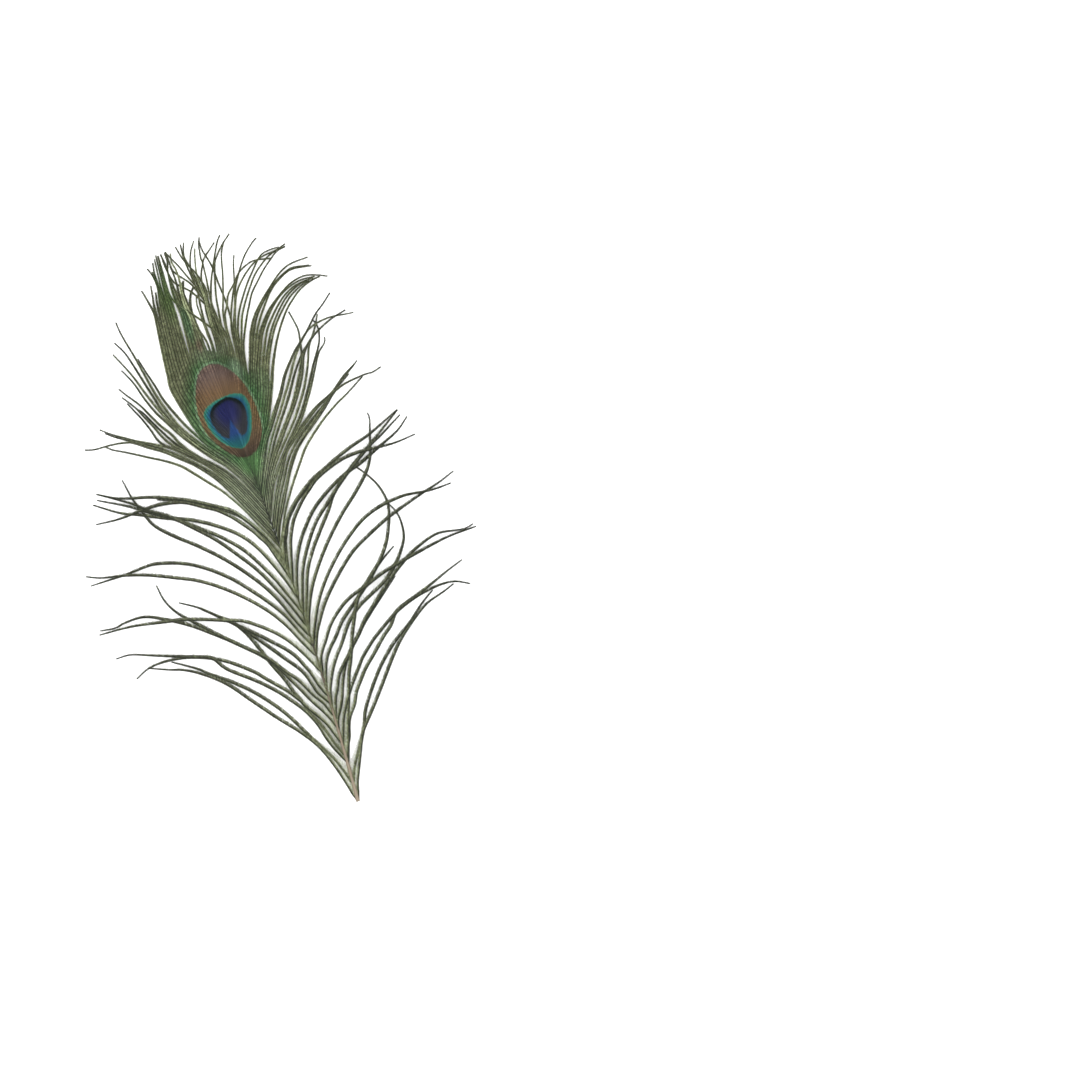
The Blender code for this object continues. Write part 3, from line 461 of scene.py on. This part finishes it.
def eye_route(side, share, beyond):
    """A barb of the eye: the mix, in the given share, of the fan's two sides, then its own way past the eye.

    The mix ends 6 mm before that way starts, and keeps few points, so that the curve turns gently there.
    """
    middle, edge = fan_sides(side, 9)
    line = middle * (1 - share) + edge * share
    kept = line[line[:, 1] < beyond[0][1] - 6]
    kept = kept[::2] if len(kept) > 4 else kept
    return [tuple(p) for p in kept] + beyond


def lift(line, style, tip_side, rng, in_vane):
    """Plan line to space: an arch over the table between the root and the tip, with a slow waver.

    The arch is half a sine wave, and a barb of the vane follows the vane's height until it has left the
    eye. The waver is a sine wave that grows towards the tip, across and up. The ramus keeps to the side of
    the line where its barbules are short.
    """
    s = np.linspace(0, 1, len(line))
    x, y = line[:, 0], line[:, 1]
    arch = rng.uniform(*style["rise"]) * np.sin(np.pi * s)
    tip = TIP_Z + rng.uniform(0, 0.5)
    if in_vane:
        z = vane_z(x, y) + 0.06 * rng.uniform(-1, 1) + arch * ease(y, 214, 244)
        z = z + (tip - z) * ease(s, 0.75, 1.05) ** 2
    else:
        root = 0.5 * shaft_width(y[0]) + 0.1
        root = max(root, vane_z(x[0], y[0]) * ease(y[0], 120, 150))
        z = root + (tip - root) * s + arch
    phase = rng.uniform(0, 2 * np.pi, 2)
    waver = WAVER_ACROSS * s * np.sin(2 * np.pi * s * rng.uniform(1.2, 2.4) + phase[0])
    waver = waver - tip_side * STEM_ASIDE * (style["long"][1] - style["short"][1]) * ease(s, 0, 0.15)
    z = z + WAVER_UP * s * np.sin(2 * np.pi * s * rng.uniform(1.5, 3) + phase[1])
    tangent = unit(np.gradient(line, axis=0))
    line = line + np.stack([-tangent[:, 1], tangent[:, 0]], 1) * waver[:, None]
    return np.column_stack([line, np.maximum(z, LOWEST_RAMUS)])


def unit(vectors):
    """The vectors, one in each row, made one long."""
    return vectors / np.linalg.norm(vectors, axis=1)[:, None]


def axes_along(path, roll):
    """Unit tangent, left and up of a path in space, rolled about the tangent by an angle at each point."""
    tangent = unit(np.gradient(path, axis=0))
    left = unit(np.column_stack([-tangent[:, 1], tangent[:, 0], np.zeros(len(path))]))
    up = np.cross(tangent, left)
    cos, sin = np.cos(roll)[:, None], np.sin(roll)[:, None]
    return tangent, left * cos + up * sin, up * cos - left * sin


def grid_faces(rows, columns, round_closed=True):
    """Two triangles in each cell of a grid of points; a closed round joins the last column to the first."""
    i, k = np.meshgrid(np.arange(rows - 1), np.arange(columns - 1 + round_closed), indexing="ij")
    after = (k + 1) % columns
    a, b, c, d = i * columns + k, (i + 1) * columns + k, (i + 1) * columns + after, i * columns + after
    return np.stack([a, b, c, a, c, d], -1).reshape(-1, 3)


def tube(path, left, up, half_width, above, below):
    """A closed tube with a lozenge section carried along a path; returns its points and triangles."""
    rings = np.stack([path + up * above, path + left * half_width, path - up * below,
                      path - left * half_width], axis=1)
    end = (len(path) - 1) * 4
    caps = [[0, 1, 2], [0, 2, 3], [end, end + 2, end + 1], [end, end + 3, end + 2]]
    return rings.reshape(-1, 3), np.vstack([grid_faces(len(path), 4), caps])


def barbules(path, axes, style, tip_side, rng):
    """Two rows of flat barbules, each a thin closed wedge laid like a shingle, and a veil near the shaft.

    A wedge is a flat blade that narrows outwards, with a keel under its root. The veil is a third row, of
    narrow blades that shorten away from the shaft. Returns points, triangles, and for each point its reach,
    its place along the barb and its grain. The reach is 0 at the ramus and 1 at a barbule's end, and
    negative on the short row of a barb with a dark edge.
    """
    length = np.linalg.norm(np.diff(path, axis=0), axis=1).sum()
    count = max(12, int(length / PITCH))
    at = np.clip((np.arange(count) + 0.5 + rng.uniform(-0.25, 0.25, count)) / count, 0, 1)
    middle = resample(path, at)
    tangent, left, up = (resample(v, at) for v in axes)
    from_y, to_y, share = style["part"]
    opening = ease(at, 0, 0.02) * (1 - share * ease(middle[:, 1], from_y, to_y))
    order = np.array([[0, 1, 2], [0, 2, 3], [1, 0, 4], [2, 1, 4], [3, 2, 4], [0, 3, 4]])
    points, faces, marks = [], [], []
    base = 0
    rows = [(1, 0), (-1, 0)] + [(tip_side, style["veil"])] * (style["veil"] > 0)
    for side, veil in rows:
        pick = np.flatnonzero(at < veil) if veil else np.arange(count)
        long, s, n = side == tip_side, at[pick], len(pick)
        spread = np.interp(s, style["at"], style["long" if long else "short"])
        wisp = rng.random(n) < style["wisps"]
        stretch = np.where(wisp, WISP_LENGTH, 1.0)
        wide, end_wide = np.where(wisp, 0.5, 1.0), np.where(wisp, 0.2, style["blunt"])
        if veil:
            spread = VEIL_LENGTH * (1 - 0.7 * s / veil)
            wisp = stretch = np.ones(n)
            wide, end_wide = 0.3 * wisp, 0.6 * wisp
        out = opening[pick] * spread * rng.uniform(0.86, 1.1, n) * stretch + LEAST_LENGTH
        grain = np.convolve(rng.uniform(-1, 1, n + 2), np.ones(3) / 2, "valid") + wisp
        along, outward, above = tangent[pick], left[pick] * side, up[pick]
        half = along * (PITCH * wide)[:, None]
        end_half = half * end_wide[:, None]
        root = middle[pick] + outward * style["stem"] * 0.3
        tip = root + out[:, None] * (outward * OUTWARD + along * FORWARD + above * style["droop"])
        tip[:, 2] = np.maximum(tip[:, 2], LOWEST_BARBULE)
        corners = [root - half - above * THICKNESS, root + half + above * THICKNESS,
                   tip + end_half, tip - end_half, root - above * KEEL]
        points.append(np.stack(corners, 1).reshape(-1, 3))
        turned = order if side > 0 else order[:, [1, 0, 2]]
        faces.append((base + (np.arange(n) * 5)[:, None, None] + turned).reshape(-1, 3))
        base += 5 * n
        sign = -1.0 if style["dark_edge"] and not long else 1.0
        reach = np.tile([0.15, 0.15, 1.0, 1.0, 0.15], n)
        reach[2::5] = reach[3::5] = np.where(wisp, 0.6, 1.0)
        marks.append(np.column_stack([reach * sign, np.repeat(s, 5), np.repeat(grain, 5)]))
    return np.vstack(points), np.vstack(faces), np.vstack(marks)


def put(name, data, place=(0, 0, 0), turn=(0, 0, 0)):
    """Puts an object with this data in the scene, at a place in metres and turned by degrees."""
    thing = bpy.data.objects.new(name, data)
    thing.location = place
    thing.rotation_euler = np.radians(turn)
    bpy.context.scene.collection.objects.link(thing)
    return thing


def new_piece(name, points, faces, uv, tone, materials, slots):
    """Puts the arrays into a mesh, points in millimetres from the cut end, and its object at the origin."""
    points = (points - np.append(BOX_MIDDLE, 0)) * MM
    mesh = bpy.data.meshes.new(name)
    mesh.vertices.add(len(points))
    mesh.vertices.foreach_set("co", points.astype(np.float32).ravel())
    mesh.loops.add(faces.size)
    mesh.loops.foreach_set("vertex_index", faces.astype(np.int32).ravel())
    mesh.polygons.add(len(faces))
    mesh.polygons.foreach_set("loop_start", np.arange(0, faces.size, 3, dtype=np.int32))
    mesh.update(calc_edges=True)
    layer = mesh.uv_layers.new(name="barb")
    layer.data.foreach_set("uv", uv[faces.ravel()].astype(np.float32).ravel())
    mark = mesh.attributes.new("tone", "FLOAT", "POINT")
    mark.data.foreach_set("value", tone.astype(np.float32))
    for material in materials:
        mesh.materials.append(material)
    mesh.polygons.foreach_set("material_index", slots.astype(np.int32))
    mesh.validate()
    piece = put(name, mesh)
    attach(piece, "root")
    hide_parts("feather")
    return piece


def barb_piece(name, routes, style, materials, seed, in_vane=False, pale=()):
    """One mesh of whole barbs: for each, a ramus and its barbules. Slot 0 is barbules, the last slot rami.

    The barbs counted in pale have lost most of their dark pigment past the eye.
    """
    rng = np.random.default_rng(seed)
    tip_side = -1 if name.endswith("left") else 1
    points, faces, uv, tone, slots = [], [], [], [], []
    base = 0
    for count, route in enumerate(routes):
        path = lift(smooth_route(route), style, tip_side, rng, in_vane)
        s = np.linspace(0, 1, len(path))
        twist = 0.12 if in_vane else 0.3
        roll = twist * (rng.uniform(-0.4, 0.4) + s * np.sin(s * rng.uniform(2, 6) + rng.uniform(0, 6.3)))
        axes = axes_along(path, roll)
        thick = (1 - 0.5 * s)[:, None]
        ramus, ramus_faces = tube(path, axes[1], axes[2], style["stem"] / 2 * thick,
                                  RAMUS_HEIGHT * 0.6 * thick, RAMUS_HEIGHT * 0.4 * thick)
        blades, blade_faces, marks = barbules(path, axes, style, tip_side, rng)
        grains = np.append(np.zeros(len(ramus)), marks[:, 2])
        points += [ramus, blades]
        faces += [ramus_faces + base, blade_faces + base + len(ramus)]
        uv += [np.column_stack([np.zeros(len(ramus)), np.repeat(s, 4)]), marks[:, :2]]
        fading = 0.9 * ease(np.append(ramus[:, 1], blades[:, 1]), 232, 244) * (count in pale)
        shade = rng.uniform(-0.2, 0.2) + style["tone"][count % 2]
        tone.append(np.maximum(shade + 0.6 * grains, 0) + fading)
        slots += [np.full(len(ramus_faces), len(materials) - 1), np.zeros(len(blade_faces))]
        base += len(ramus) + len(blades)
    return new_piece(name, np.vstack(points), np.vstack(faces), np.vstack(uv), np.concatenate(tone),
                     materials, np.concatenate(slots))


def shaft_piece(materials):
    """D section with a shallow groove below, carried along the bow; it lifts a little into the vane."""
    y = np.linspace(0, SHAFT_END_Y, SHAFT_STATIONS)
    w = shaft_width(y)
    turn = np.linspace(0, 2 * np.pi, SHAFT_SIDES, endpoint=False) + np.pi / 2
    across, up = 0.5 * np.cos(turn), 0.5 + 0.5 * np.sin(turn)
    section = np.maximum(up, SHAFT_FLAT + GROOVE_DEPTH * np.exp(-(across / GROOVE_WIDTH) ** 2)) - SHAFT_FLAT
    high = SHAFT_HEIGHT * w + SHAFT_SWELL * ease(y, 110, 160) * (1 - ease(y, 170, 200))
    x = shaft_x(y)[:, None] + w[:, None] * across
    z = SHAFT_LIFT * ease(y, 100, 160)[:, None] + high[:, None] * section
    n, m = x.shape
    sides = grid_faces(n, m)
    hub = n * m
    rim = np.arange(m)
    after = np.roll(rim, -1)
    start = np.column_stack([np.full(m, hub), rim, after])
    end = np.column_stack([np.full(m, hub + 1), (n - 1) * m + after, (n - 1) * m + rim])
    centre = [[shaft_x(0), 0.0, high[0] * 0.42], [x[-1].mean(), SHAFT_END_Y, z[-1].mean()]]
    points = np.vstack([np.dstack([x, np.repeat(y[:, None], m, 1), z]).reshape(-1, 3), centre])
    faces = np.vstack([sides, start, end])
    uv = np.column_stack([np.append(np.tile(np.linspace(0, 1, m), n), [0.5, 0.5]),
                          np.append(np.repeat(y / SHAFT_END_Y, m), [0, 1])])
    slots = np.concatenate([np.zeros(len(sides)), np.ones(m), np.zeros(m)])
    piece = new_piece("shaft", points, faces, uv, np.full(len(points), 0.5), materials, slots)
    piece.data.polygons.foreach_set("use_smooth", np.arange(len(faces)) < len(sides))
    return piece


def eye_web(material):
    """The closed weave of barbules under the eye's barbs: a thin fluted sheet over both halves of the fan.

    On the right it stops lower towards the edge, where the barbs part sooner.
    """
    shares = np.linspace(0, WEB_WIDTH, WEB_LANES)
    rows = []
    for side in (-1, 1):
        middle, edge = fan_sides(side, STATIONS)
        reach = 1 - 0.3 * ease(shares, 0.36, 0.56) * (side > 0)
        t = np.linspace(0, 1, STATIONS)[None] * reach[:, None]
        half = resample(middle, t) * (1 - shares)[:, None, None] + resample(edge, t) * shares[:, None, None]
        rows.append(half[::-1] if side < 0 else half[1:])
    plan = np.concatenate(rows)
    x, y = plan[..., 0], plan[..., 1]
    flute = FLUTE_DEPTH * np.sin(np.arange(len(plan)) * FLUTE_STEP)[:, None]
    z = vane_z(x, y) - WEB_DROP + flute
    top = np.dstack([x, y, z])
    low = np.dstack([x, y, z - WEB_THICKNESS])
    n, m = x.shape
    upper = grid_faces(n, m, round_closed=False)
    lower = upper[:, ::-1] + n * m
    rim = np.concatenate([np.arange(n - 1) * m, (n - 1) * m + np.arange(m - 1),
                          (np.arange(n - 1, 0, -1)) * m + m - 1, np.arange(m - 1, 0, -1)])
    after = np.roll(rim, -1)
    wall = np.concatenate([np.column_stack([after, rim, rim + n * m]),
                           np.column_stack([after, rim + n * m, after + n * m])])
    points = np.vstack([top.reshape(-1, 3), low.reshape(-1, 3)])
    faces = np.vstack([upper, lower, wall])
    uv = np.column_stack([np.full(len(points), 0.3), np.tile(np.linspace(0, 0.6, m), 2 * n)])
    return new_piece("eye_web", points, faces, uv, np.full(len(points), 0.45), [material],
                     np.zeros(len(faces)))


def plug(tree, node, inputs):
    """Sets or links a node's inputs; another node stands for its first output."""
    for name, value in dict(inputs).items():
        if isinstance(value, bpy.types.Node):
            value = value.outputs[0]
        if isinstance(value, bpy.types.NodeSocket):
            tree.links.new(value, node.inputs[name])
        else:
            node.inputs[name].default_value = value


def add(tree, kind, inputs=(), stops=(), **settings):
    """Adds a shader node with its properties and inputs; stops give a ramp's hex code at each place."""
    made = tree.nodes.new("ShaderNode" + kind)
    for name, value in settings.items():
        setattr(made, name, value)
    plug(tree, made, inputs)
    if stops:
        elements = made.color_ramp.elements
        elements[0].position, elements[1].position = min(stops), max(stops)
        for at in sorted(stops)[1:-1]:
            elements.new(at)
        for element, at in zip(elements, sorted(stops)):
            element.color = colour(stops[at])
    return made


def new_material(name):
    """An empty material, its node tree and its shader."""
    material = bpy.data.materials.new(name)
    material.use_nodes = True
    return material, material.node_tree, material.node_tree.nodes["Principled BSDF"]


def outline_distance(tree, x, y, outline):
    """Signed millimetres outside a closed outline, from its radius as a curve over the angle."""
    cx, cy = EYE_MIDDLE
    dx = add(tree, "Math", {0: x, 1: cx}, operation="SUBTRACT")
    dy = add(tree, "Math", {0: y, 1: cy}, operation="SUBTRACT")
    angle = add(tree, "Math", {0: dx, 1: dy}, operation="ARCTAN2")
    turn = add(tree, "Math", {0: angle, 1: 1 / (2 * np.pi), 2: 0.5}, operation="MULTIPLY_ADD")
    curve = add(tree, "FloatCurve", {"Value": turn})
    p = np.array(outline) - EYE_MIDDLE
    at = np.arctan2(p[:, 0], p[:, 1]) / (2 * np.pi) + 0.5
    order = np.argsort(at)
    at, radius = at[order], np.hypot(*p.T)[order] / OUTLINE_SCALE
    seam = np.interp(0.0, [at[-1] - 1, at[0]], [radius[-1], radius[0]])
    marks = curve.mapping.curves[0].points
    marks[0].location, marks[1].location = (0.0, seam), (1.0, seam)
    for u, r in zip(at, radius):
        marks.new(u, r)
    curve.mapping.update()
    square = add(tree, "Math", {0: dy, 1: dy}, operation="MULTIPLY")
    length = add(tree, "Math", {0: add(tree, "Math", {0: dx, 1: dx, 2: square}, operation="MULTIPLY_ADD"),
                                1: 0.5}, operation="POWER")
    return add(tree, "Math", {0: curve, 1: -OUTLINE_SCALE, 2: length}, operation="MULTIPLY_ADD")


def plan_coordinates(tree):
    """Object coordinates as millimetres from the cut end, and the same split in x and y."""
    place = add(tree, "Mapping", {"Vector": add(tree, "TexCoord").outputs["Object"],
                                  "Location": (*BOX_MIDDLE, 0), "Scale": (1 / MM,) * 3})
    split = add(tree, "SeparateXYZ", {"Vector": place})
    return place, split.outputs["X"], split.outputs["Y"]


def layered(tree, paint, layers):
    """Colours, as hex codes or nodes, laid over one another, each by its own factor."""
    for factor, over in layers:
        over = colour(over) if isinstance(over, str) else over
        paint = add(tree, "Mix", {0: factor, 6: paint, 7: over}, data_type="RGBA").outputs[2]
    return paint


def spots(tree, place, patches):
    """Layers of soft oval patches: each full within a third of its size, and gone at its edge."""
    for (x, y), across, along, strength, code in patches:
        part = add(tree, "Mapping", {"Vector": place, "Scale": (1 / across, 1 / along, 0.0),
                                     "Location": (-x / across, -y / along, 0.0)})
        away = add(tree, "VectorMath", {0: part}, operation="LENGTH").outputs["Value"]
        yield add(tree, "MapRange", {0: away, 1: 1.0, 2: 0.3, 3: 0.0, 4: strength},
                  interpolation_type="SMOOTHSTEP"), code


def tone_and_painted_glints(tree, place, tone, strength):
    """Light and dark factor: the barbule's own tone times fine specks of painted glint, as strong as asked.

    Its average is high, because the shadows that barbs and barbules cast on one another take the rest.
    """
    # painted glints: fine noise specks that lighten and darken the barbules as sparkles would
    speck = add(tree, "TexNoise", {"Vector": place, "Scale": 2.0, "Detail": 1.0})
    painted_glint = add(tree, "MapRange", {0: speck, 1: 0.38, 2: 0.62, 3: 0.8, 4: 1.2})
    own = add(tree, "MapRange", {0: tone, 3: 0.6, 4: 1.4}, clamp=False)
    both = add(tree, "Math", {0: own, 1: painted_glint, 2: -1.0}, operation="MULTIPLY_ADD")
    both = add(tree, "Math", {0: both, 1: strength}, operation="MULTIPLY")
    return add(tree, "Math", {0: both, 1: SHADOW_LIFT, 2: SHADOW_LIFT}, operation="MULTIPLY_ADD")


def barbule_colours(tree, place, distance, tips_from, tips_dark):
    """Olive barbules, darker at the barbs' tips and green close to the eye, with single patches of colour."""
    uv = add(tree, "SeparateXYZ", {"Vector": add(tree, "UVMap", uv_map="barb")})
    tone = add(tree, "Attribute", attribute_name="tone").outputs["Fac"]
    mottle = add(tree, "TexNoise", {"Vector": place, "Scale": 0.3, "Detail": 2.0})
    near = add(tree, "MapRange", {0: distance, 1: 9.0, 2: 0.8, 3: 0.0, 4: 0.95},
               interpolation_type="SMOOTHSTEP")
    patchy = add(tree, "MapRange", {0: mottle, 1: 0.35, 2: 0.6, 3: 0.6})
    paint = layered(tree, colour("6a7053"), [
        (add(tree, "MapRange", {0: mottle, 1: 0.35, 2: 0.65}), "7d8263"),
        (add(tree, "MapRange", {0: uv.outputs["Y"], 1: tips_from, 2: 0.95, 4: tips_dark}), "393b33"),
        *spots(tree, place, PATCHES_BELOW),
        (add(tree, "Math", {0: near, 1: patchy}, operation="MULTIPLY"), "4f7a4e"),
        *spots(tree, place, PATCHES_ABOVE),
        (add(tree, "MapRange", {0: tone, 1: 1.1, 2: 1.6, 4: 0.3}), "a3ad8a")])
    return paint, uv.outputs["X"], mottle, tone


def loose_barb_material(name, tips_from):
    """Loose barbules: melanin-dark keratin with a faint structural bronze, so dull olive with a soft sheen.

    The short rows, the roots and the far ends are dark, the middle of a long row is light; from the given
    share of the barb on it darkens towards its tip.
    """
    material, tree, shader = new_material(name)
    place, x, y = plan_coordinates(tree)
    distance = outline_distance(tree, x, y, COPPER_OUTLINE)
    paint, reach, mottle, tone = barbule_colours(tree, place, distance, tips_from, 0.85)
    paint = layered(tree, paint, [
        (add(tree, "MapRange", {0: reach, 1: -0.1, 2: 0.35, 3: 0.8, 4: 0.0}), "33372a"),
        (add(tree, "MapRange", {0: reach, 1: 0.5, 2: 1.0, 4: 0.65}), "3f442f")])
    # the barbules' own tone times painted glints
    light = tone_and_painted_glints(tree, place, tone, 1.0)
    plug(tree, shader, {"Base Color": add(tree, "VectorMath", {0: paint, "Scale": light}, operation="SCALE"),
                        "Roughness": add(tree, "MapRange", {0: mottle, 3: 0.45, 4: 0.65}),
                        "IOR": KERATIN_IOR, "Specular IOR Level": 0.18, "Metallic": 0.1})
    return material


def ramus_material():
    """Barb stems: solid keratin full of melanin, dark olive and slightly glossy."""
    material, tree, shader = new_material("keratin barb stems")
    _, _, y = plan_coordinates(tree)
    own = add(tree, "Attribute", attribute_name="tone").outputs["Fac"]
    shade = add(tree, "TexNoise", {"Vector": add(tree, "CombineXYZ", {0: own, 1: y}), "Scale": 0.25,
                                   "Detail": 2.0})
    shade = add(tree, "Math", {0: own, 1: 0.3, 2: shade}, operation="MULTIPLY_ADD")
    shade = add(tree, "MapRange", {0: shade, 1: 0.6, 2: 1.1})
    plug(tree, shader, {"Base Color": layered(tree, colour("13180c"), [(shade, "4b5139")]),
                        "Roughness": 0.5, "IOR": KERATIN_IOR, "Specular IOR Level": 0.18})
    return material


def eye_material():
    """Eye barbules: stacked melanin rods that give blue, turquoise and copper by interference."""
    material, tree, shader = new_material("structural colour barbules")
    place, x, y = plan_coordinates(tree)
    fray = add(tree, "TexNoise", {"Vector": place, "Scale": 0.9, "Detail": 2.0})
    fray = add(tree, "Math", {0: fray, 1: 0.5}, operation="SUBTRACT")
    copper, ring, heart = (
        add(tree, "Math", {0: outline_distance(tree, x, y, outline), 1: fray}, operation="ADD")
        for outline in (COPPER_OUTLINE, RING_OUTLINE, HEART_OUTLINE))
    paint, reach, mottle, tone = barbule_colours(tree, place, copper, 0.75, 0.4)
    # thin light green rim outside the copper, gone below
    rim = add(tree, "Math", {0: copper, 1: 0.6, 2: 0.6}, operation="COMPARE")
    rim = add(tree, "Math", {0: rim, 1: add(tree, "MapRange", {0: y, 1: 178.0, 2: 188.0, 4: 0.85})},
              operation="MULTIPLY")
    # copper oval: pinkish grey on top, orange brown by the ring, dark brown below
    brown = add(tree, "ValToRGB", {"Fac": add(tree, "MapRange", {0: y, 1: 176.0, 2: 216.0})},
                stops={0.0: "68584a", 0.4: "84704f", 0.78: "866c50", 1.0: "806d64"})
    # turquoise ring: green at its outer edge, blue against the heart
    teal = add(tree, "ValToRGB", {"Fac": add(tree, "MapRange", {0: ring, 1: 0.0, 2: -3.4})},
               stops={0.0: "4f9a7c", 0.3: "3c8a84", 0.65: "34708a", 1.0: "2c5384"})
    low_ring = add(tree, "Math", {0: add(tree, "MapRange", {0: y, 1: 186.0, 2: 182.0, 4: 0.8}),
                                  1: add(tree, "MapRange", {0: ring, 1: -0.2, 2: -0.8})},
                   operation="MULTIPLY")
    # dark heart with a violet middle and a black green rim on top, parted by a bright blue notch
    aside = add(tree, "Math", {0: add(tree, "Math", {0: x, 1: NOTCH_APEX[0]}, operation="SUBTRACT")},
                operation="ABSOLUTE")
    below = add(tree, "Math", {0: NOTCH_APEX[1], 1: y}, operation="SUBTRACT")
    notch = add(tree, "Math", {0: below, 1: -NOTCH_SPREAD, 2: aside}, operation="MULTIPLY_ADD")
    notch = add(tree, "Math", {0: notch, 1: fray}, operation="ADD")
    notch = add(tree, "MapRange", {0: notch, 1: 0.3, 2: -0.4})
    blue = add(tree, "Math", {0: notch, 1: add(tree, "MapRange", {0: y, 1: 181.0, 2: 188.0})},
               operation="MULTIPLY")
    lobes = add(tree, "Math", {0: add(tree, "MapRange", {0: heart, 1: 0.2, 2: -0.2}),
                               1: add(tree, "Math", {0: 1.0, 1: notch}, operation="SUBTRACT")},
                operation="MULTIPLY")
    edge = add(tree, "Math", {0: add(tree, "MapRange", {0: heart, 1: -2.4, 2: -1.1}),
                              1: add(tree, "MapRange", {0: y, 1: 193.0, 2: 200.0})}, operation="MULTIPLY")
    dark = layered(tree, colour("414348"), [*spots(tree, place, [VIOLET_PATCH]), (edge, "152020")])
    paint = layered(tree, paint, [
        (rim, "85a57f"),
        (add(tree, "MapRange", {0: copper, 1: 0.3, 2: -0.3}), brown),
        (add(tree, "MapRange", {0: ring, 1: 0.25, 2: -0.25}), teal),
        (blue, "34548e"),
        (low_ring, "2f7378"),
        (lobes, dark)])
    # the barb stems are darker, and the grain and painted glints stronger, outside the oval
    depth = add(tree, "MapRange", {0: copper, 1: -6.0, 2: 1.0, 3: 0.55, 4: 0.25})
    stem = add(tree, "Mix", {0: add(tree, "MapRange", {0: reach, 1: 0.02, 2: 0.4}), 2: depth, 3: 1.0})
    strength = add(tree, "MapRange", {0: copper, 1: -6.5, 2: 1.0, 3: 0.15, 4: 1.0})
    light = add(tree, "Math", {0: stem, 1: tone_and_painted_glints(tree, place, tone, strength)}, operation="MULTIPLY")
    plug(tree, shader, {"Base Color": add(tree, "VectorMath", {0: paint, "Scale": light}, operation="SCALE"),
                        "Roughness": add(tree, "MapRange", {0: mottle, 3: 0.38, 4: 0.56}),
                        "IOR": KERATIN_IOR, "Specular IOR Level": 0.16, "Metallic": 0.6})
    return material


def shaft_material():
    """Shaft cortex: smooth keratin, taupe where bare and stained green-black between the barbs."""
    material, tree, shader = new_material("keratin shaft cortex")
    place, _, y = plan_coordinates(tree)
    paint = add(tree, "ValToRGB", {"Fac": add(tree, "MapRange", {0: y, 1: 0.0, 2: 190.0})},
                stops={0.0: "a3947f", 0.22: "94836f", 0.34: "5b4f42", 0.46: "3a3a2c", 0.6: "2a3122"})
    paint = layered(tree, paint, spots(tree, place, [PALE_PATCH]))
    drawn = add(tree, "Mapping", {"Vector": place, "Scale": (5.0, 0.12, 5.0)})
    streaks = add(tree, "TexNoise", {"Vector": drawn, "Scale": 1.0, "Detail": 4.0})
    light = add(tree, "MapRange", {0: streaks, 3: 0.7, 4: 1.28})
    plug(tree, shader, {"Base Color": add(tree, "VectorMath", {0: paint, "Scale": light}, operation="SCALE"),
                        "Normal": add(tree, "Bump", {"Height": streaks, "Strength": 0.3,
                                                     "Distance": 0.05 * MM}),
                        "Roughness": 0.36, "IOR": KERATIN_IOR, "Specular IOR Level": 0.28})
    return material


def pith_material():
    """Cut end of the shaft: dry foam-like pith, off white and matt."""
    material, tree, shader = new_material("shaft pith")
    place, _, _ = plan_coordinates(tree)
    cells = add(tree, "TexNoise", {"Vector": place, "Scale": 6.0, "Detail": 3.0})
    paint = layered(tree, colour("b9a992"), [(cells, "e2d8c4")])
    plug(tree, shader, {"Base Color": paint, "Roughness": 0.85})
    return material


def floor():
    """A wide pale sheet at the height that the feather lies on."""
    half = FLOOR_WIDTH / 2
    mesh = bpy.data.meshes.new("floor")
    mesh.from_pydata([(-half, -half, 0), (half, -half, 0), (half, half, 0), (-half, half, 0)], [],
                     [(0, 1, 2, 3)])
    material, tree, shader = new_material("matt white paper")
    plug(tree, shader, {"Base Color": colour("fafafa", 1.0), "Roughness": 0.9, "Specular IOR Level": 0.1})
    mesh.materials.append(material)
    sheet = put("floor", mesh)


def light_and_camera():
    """Soft studio light from all round, a camera straight above, turned as the photograph is."""
    scene = bpy.context.scene
    scene.view_settings.view_transform = "Standard"
    scene.world = bpy.data.worlds.new("studio")
    scene.world.use_nodes = True
    sky = scene.world.node_tree
    plug(sky, sky.nodes["Background"], {"Color": colour("ffffff", 1.0), "Strength": STUDIO_LIGHT})
    key = bpy.data.lights.new("key", "AREA")
    key.size = KEY_SIZE
    key.energy = KEY_WATTS
    put("key", key, KEY_PLACE, KEY_TURN)
    camera = bpy.data.cameras.new("camera")
    camera.sensor_width = 36.0
    camera.lens = 100.0
    camera.clip_start = 0.01
    middle = (np.array(VIEW_MIDDLE) - BOX_MIDDLE) * MM
    height = VIEW_WIDTH * MM * camera.lens / camera.sensor_width
    scene.camera = put("camera", camera, (*middle, height), (0, 0, VIEW_TURN))


def main():
    loose = loose_barb_material("melanin keratin barbules", 0.0)
    bronze = loose_barb_material("bronze sheen barbules", 0.45)
    rami, eye = ramus_material(), eye_material()
    shaft_piece([shaft_material(), pith_material()])
    barb_piece("loose_barbs_left", LEFT_LOOSE, LOOSE, [loose, rami], 21)
    barb_piece("loose_barbs_right", RIGHT_LOOSE, LOOSE, [loose, rami], 22)
    barb_piece("tufts_left", LEFT_TUFTS, TUFT, [bronze, rami], 31)
    barb_piece("tufts_right", RIGHT_TUFTS, TUFT, [bronze, rami], 32)
    for name, side, barbs, style, seed, pale in (("eye_barbs_left", -1, EYE_LEFT, EYE, 41, (13,)),
                                                 ("eye_barbs_right", 1, EYE_RIGHT, FRINGE, 42, (1, 4)),
                                                 ("eye_fan_right", 1, EYE_FAN, FAN, 43, ())):
        routes = [eye_route(side, share, beyond) for share, beyond in barbs]
        barb_piece(name, routes, style, [eye], seed, in_vane=True, pale=pale)
    eye_web(eye)
    floor()
    light_and_camera()


main()
